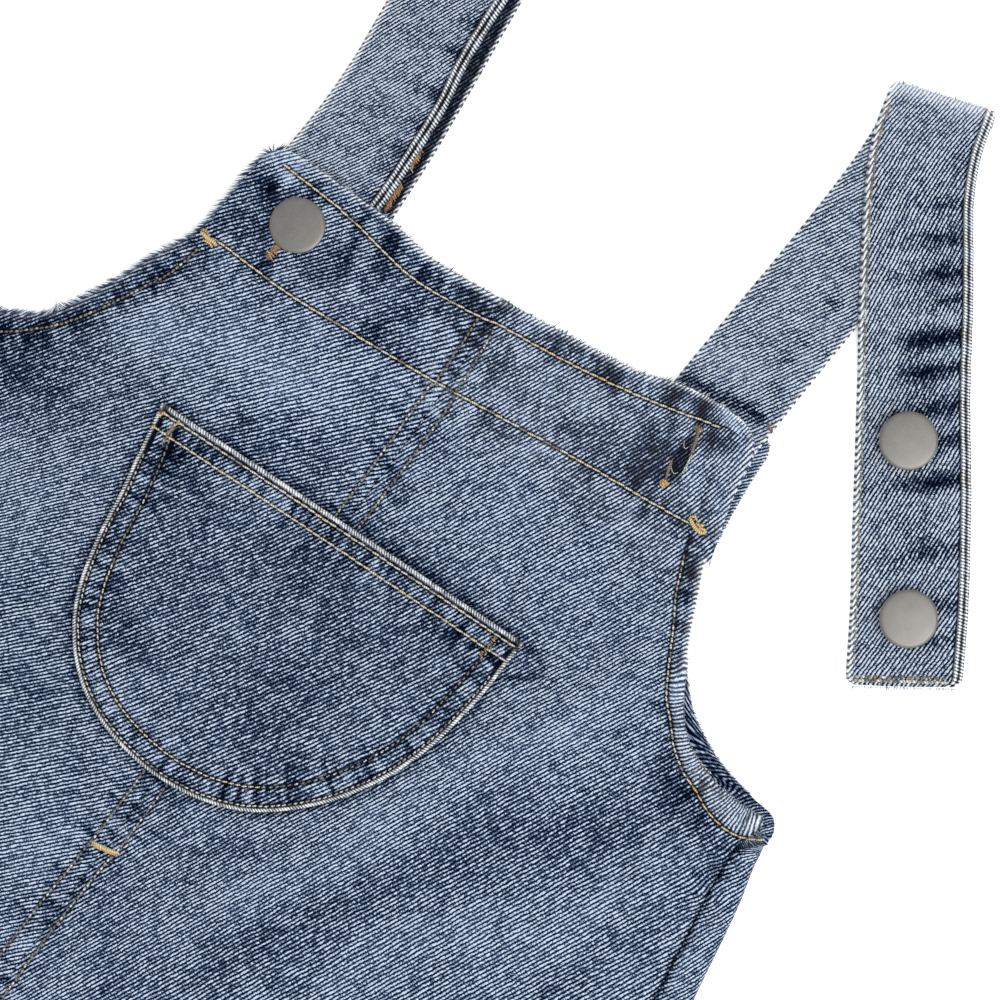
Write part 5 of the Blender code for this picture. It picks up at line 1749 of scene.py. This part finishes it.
# ------------------------------------------------------------------- topstitching
def stitch_fronts(left, right):
    """The fronts' rows of stitches and bar tacks, and the right buttonhole's threads."""
    for name, meet_x, left_tint, right_tint, cover, thread in BAND_STITCHES:
        path = PATHS[name]
        meet = float(np.interp(meet_x, path.points[:, 0], path.run))
        left.row(path, left_tint, stitch=2.7, cover=cover, thread=thread, end=meet)
        right.row(path, right_tint, stitch=2.7, cover=cover, thread=thread, start=meet)
    for stitches, name in ((left, "seam_left_row"), (right, "seam_right_row")):
        stitches.row(PATHS[name], 0.96, cover=0.70, stitch=1.55, sink=0.12, thread=0.66, vary=0.05)
    left.row(PATHS["arm_stitch_left"], 0.95, cover=0.78, stitch=1.5, sink=0.24, thread=0.70, vary=0.05)
    arm, (white_from, white_to) = PATHS["arm_stitch_right"], ARM_WHITE
    right.row(arm, 0.02, cover=0.84, stitch=1.9, start=white_from, end=white_to, thread=0.62, sink=0.17)
    right.row(arm, 0.28, cover=0.92, stitch=2.7, start=white_to, thread=0.58)
    for strand in TACK_LEFT:
        left.strand(*strand)
    left.bar((-60.4, -25.4), (-60.8, -30.2), 2.4, 0.75)
    for strand in TACK_RIGHT + TACK_MIDDLE:
        right.strand(*strand)
    top, foot = PATHS["hole_right"].at(np.array([0.0, PATHS["hole_right"].length]))[0]
    right.bar(top + (-0.2, 1.1), top + (2.0, 1.2), 2.0, 0.80)
    for strand in HOLE_STRANDS:
        right.strand(*strand)
    for bar in HOLE_BARS:
        right.bar(*bar, thread=0.36, slant=0.35)
    right.bow(foot + (-2.4, -1.5), foot + (-0.2, -2.0), 1.6, 0.55, strands=3, thread=0.7)


def stitch_pocket(thread):
    """Two rows along the pocket's curve, two along its top, and the bar tacks at its corners."""
    inward = left_of(unit(np.gradient(POCKET_LINE, axis=0)))
    near, far = (POCKET_LINE + depth * inward for depth in POCKET_SIDE_ROWS)
    start, end = POCKET_FAR_ENDS
    near_row = Path(near[1:-1][::4])
    far_row = Path(np.concatenate([[start], far[4:-5][::4], [end]]))
    thread.row(near_row, 0.02, cover=0.72, stitch=1.7, sink=0.12, thread=0.52, vary=0.05)
    for start, end, tint, cover in POCKET_FAR_PARTS:
        thread.row(far_row, tint, cover=cover, stitch=1.9, sink=0.14, thread=0.52, vary=0.05,
                   start=start * far_row.length, end=end * far_row.length)
    slope = unit(np.subtract(POCKET_TOP_RIGHT, POCKET_TOP_LEFT))
    for depth, tint in zip(POCKET_TOP_ROWS, (0.08, 0.12)):
        down = -left_of(slope) * depth
        thread.row(Path([POCKET_TOP_LEFT + down + slope * 1.2, POCKET_TOP_RIGHT + down - slope * 1.2]),
                   tint, stitch=2.5, cover=0.97, thread=0.62)
    for start, end, tint in POCKET_BARS:
        thread.bar(start, end, 0.9, tint)


def stitch_right_strap(thread):
    """The row along the strap's left edge, two across its end, and a tack beside the bib."""
    rows = right_strap.rows[right_strap.fold_to:]
    inset = rows[:, 4:5] / 2.0 - STRAP_ROW_INSET
    left_edge = rows[:, :2] - inset * heading(rows[:, 3])
    right_edge = rows[:, :2] + (inset - STRAP_END_ROW_GAP) * heading(rows[:, 3])
    edge_row = Path(left_edge[4::6])
    paler_from = STRAP_PALER_FROM * edge_row.length
    thread.row(edge_row, 0.92, cover=0.94, stitch=1.5, sink=0.10, thread=0.66, end=paler_from, vary=0.07)
    thread.row(edge_row, 0.97, cover=0.80, stitch=1.4, sink=0.10, thread=0.58, start=paler_from, vary=0.05)
    thread.bar((83.6, 17.6), (85.2, 16.2), 1.2, 0.80)
    thread.row(Path([left_edge[-2], right_edge[-2]]), 0.98, cover=0.85, stitch=1.7, thread=0.95, vary=0.09)
    thread.row(Path([left_edge[-3], right_edge[-3]]), 0.90, cover=0.55, stitch=1.9, thread=0.80, vary=0.06)


threads = {node: Thread("stitches_" + node, shown[node], seed) for node, seed in THREAD_SEEDS.items()}
stitch_fronts(threads["front_left"], threads["front_right"])
threads["back_right"].row(PATHS["back_row"], 0.02, cover=0.75, stitch=1.5, thread=0.50)
stitch_pocket(threads["pocket"])
stitch_right_strap(threads["strap_right"])
for start, end, width in STRAP_LEFT_BARS:
    threads["strap_left"].bar(start, end, width, 0.72, step=0.55, thread=0.45, slant=0.6)
for thread in threads.values():
    thread.make(GOLD_THREAD)


# ------------------------------------------------------------------ frayed edges
FRAY_DROPS = (0.35, 0.75)   # two rows of yarn ends, below the cloth's face
FRAY_BARE = 84              # of the 400 steps down the right front's edge, those that don't fray
STRIP_BARE = 24             # of the 200 steps beside the right armhole, the last ones


def outward_of(line, side):
    """Directions square to a line of points, to its right for +1 and left for -1."""
    return -side * left_of(unit(np.gradient(line[:, :2], axis=0)))


def front_edges(side):
    """A front's top edge and its outer edge down to the hip, at the height of its face."""
    places = np.linspace(0.0, HIP, 400)
    plan, to_edge = front_plan(places, np.linspace(0.0, 1.0, 60), side)
    whole = raised(plan, front_height(plan[..., 0], plan[..., 1]) + side_rise(places, to_edge, side))
    return whole[0], whole[:, -1]


def fray_body():
    """Yarn ends at the bib's top, down the fronts' outer edges and beside the right armhole."""
    fringe = Fringe("fray_body", "denim_body", 21)
    for side in (-1, 1):
        top, outer = front_edges(side)
        top_out, out = outward_of(top, -side), outward_of(outer, -side)
        slant = TWILL_ANGLE + GRAIN_TILTS[side]
        down = int(len(outer) * (UNDERARM - 0.2) / HIP)
        for drop in FRAY_DROPS:
            fringe.edge(top - (0, 0, drop), top_out, 0.6, 1.3, 0.62, comb=slant)
            if side < 0:
                fringe.edge(outer[4:down] - (0, 0, drop), out[4:down], 0.48, 3.4, 0.72,
                            spread=0.06, thick=0.26, comb=slant + 7.0, lean=0.10)
            else:
                fringe.edge(outer[FRAY_BARE:down] - (0, 0, drop), out[FRAY_BARE:down], 0.5, 0.5, 0.05,
                            thick=0.14)
        if side < 0:
            fringe.edge(outer[down:] - (0, 0, 0.6), out[down:], 1.1, 0.6, 0.6)
    places = np.linspace(0.0, UNDERARM, 200)
    armhole = back_section(places, [2.0], 1)[0][:, 0]
    frayed = slice(0, len(armhole) - STRIP_BARE)
    fringe.edge(armhole[frayed] + (0, 0, 0.6), outward_of(armhole, -1)[frayed], 0.45, 1.4, 0.72,
                spread=0.14, comb=strip_angles(places)[frayed], lean=0.15)
    fringe.make(FRAY)


def fray_straps():
    """Yarn ends along the straps' edges, at the right one's fold and at its end."""
    fringe = Fringe("fray_straps", "denim_straps", 22)
    for strap in (left_strap, right_strap):
        rows = strap.rows
        for side in (-1.0, 1.0):
            outward = side * heading(rows[:, 3])
            line = raised(rows[:, :2] + outward * (rows[:, 4:5] / 2.0 - 0.15), rows[:, 2])
            comb = rows[:, 3] + strap.look["weave"][2]
            fringe.edge(line[2:-2], outward[2:-2], 0.55, 0.8, 0.45, spread=0.15, thick=0.17, comb=comb[2:-2])
    rows, at_fold = right_strap.rows, right_strap.fold_to - FOLD_STEPS // 2
    for row, way, dark_share in ((rows[at_fold], 1.0, 0.2), (rows[-1], -1.0, 0.5)):
        across = heading(row[3])
        forward = way * left_of(across)
        plan = row[:2] + np.linspace(-0.47, 0.47, 24)[:, None] * row[4] * across + forward * CLOTH
        fringe.edge(raised(plan, np.full(24, row[2])), np.tile(forward, (24, 1)), 0.45, 1.0, dark_share,
                    spread=0.25, thick=0.16)
    fringe.make(FRAY)


def fray_pocket():
    """Yarn ends all round the pocket."""
    fringe = Fringe("fray_pocket", "denim_pocket", 23)
    rim = np.concatenate([straight(POCKET_LINE, 0.8), straight([POCKET_TOP_RIGHT, POCKET_TOP_LEFT], 0.8)])
    line = raised(rim, front_height(*rim.T) + GAP + CLOTH)
    fringe.edge(line, outward_of(rim, 1), 0.6, 0.4, 0.45, thick=0.12)
    fringe.make(FRAY)


fray_body()
fray_straps()
fray_pocket()

# ==================================================================== the stage
PHOTO_CENTRE = (34.1, -46.1)        # the photo's centre, in the lay frame
PHOTO_TURN = 36.5                   # how far the photo's upright turns from the garment's
PHOTO_WIDTH = 288.0                 # what the photo spans, at the cloth's height
CLOTH_LEVEL = 4.0
LENS = 100.0
SENSOR = 36.0
FLOOR_SIZE = 3.0                    # metres from its middle to a side
FLOOR_DROP = 0.0003
FLOOR_GREY = 0.93
FLOOR_GLOW = 0.42                   # keeps the paper white under the soft shadows
DAYLIGHT = 0.90
KEY_AZIMUTH = -6.0
KEY_ELEVATION = 62.0
KEY_DISTANCE = 2.2
KEY_SIZE = 1.2
KEY_POWER = 29.0


def placed(name, data):
    made = bpy.data.objects.new(name, data)
    bpy.context.scene.collection.objects.link(made)
    return made


def build_floor():
    mesh = bpy.data.meshes.new("floor")
    corners = [(x * FLOOR_SIZE, y * FLOOR_SIZE, 0.0) for x, y in ((-1, -1), (1, -1), (1, 1), (-1, 1))]
    mesh.from_pydata(corners, [], [(0, 1, 2, 3)])
    floor = placed("floor", mesh)
    floor.location.z = -FLOOR_DROP
    mesh.materials.append(Nodes("floor_pale").shade(
        colour=(FLOOR_GREY, FLOOR_GREY, FLOOR_GREY, 1.0), roughness=0.95, specular=0.0,
        glow_colour=(1.0, 1.0, 1.0, 1.0), glow=FLOOR_GLOW))


def build_light():
    """Even daylight from all sides, and one large soft lamp."""
    daylight = bpy.data.worlds.new("soft_daylight")
    bpy.context.scene.world = daylight
    daylight.use_nodes = True
    background = daylight.node_tree.nodes["Background"]
    background.inputs["Color"].default_value = (1.0, 1.0, 1.0, 1.0)
    background.inputs["Strength"].default_value = DAYLIGHT
    light = bpy.data.lights.new("key", "AREA")
    light.shape = "SQUARE"
    light.size = KEY_SIZE
    light.energy = KEY_POWER
    lamp = placed("key", light)
    lift = math.radians(KEY_ELEVATION)
    direction = Vector((*(heading(KEY_AZIMUTH) * math.cos(lift)), math.sin(lift)))
    lamp.location = Vector(world([(*PHOTO_CENTRE, 0.0)])[0]) + direction * KEY_DISTANCE
    lamp.rotation_euler = direction.to_track_quat("Z", "Y").to_euler()


def build_camera():
    """Straight above the photo's centre, at the distance where its frame spans the photo."""
    camera = bpy.data.cameras.new("camera")
    camera.lens = LENS
    camera.sensor_width = SENSOR
    made = placed("camera", camera)
    made.location = world([(*PHOTO_CENTRE, CLOTH_LEVEL + PHOTO_WIDTH * LENS / SENSOR)])[0]
    made.rotation_euler = (0.0, 0.0, math.radians(PHOTO_TURN))
    bpy.context.scene.camera = made


build_floor()
build_light()
build_camera()
bpy.context.scene.view_settings.view_transform = "Standard"
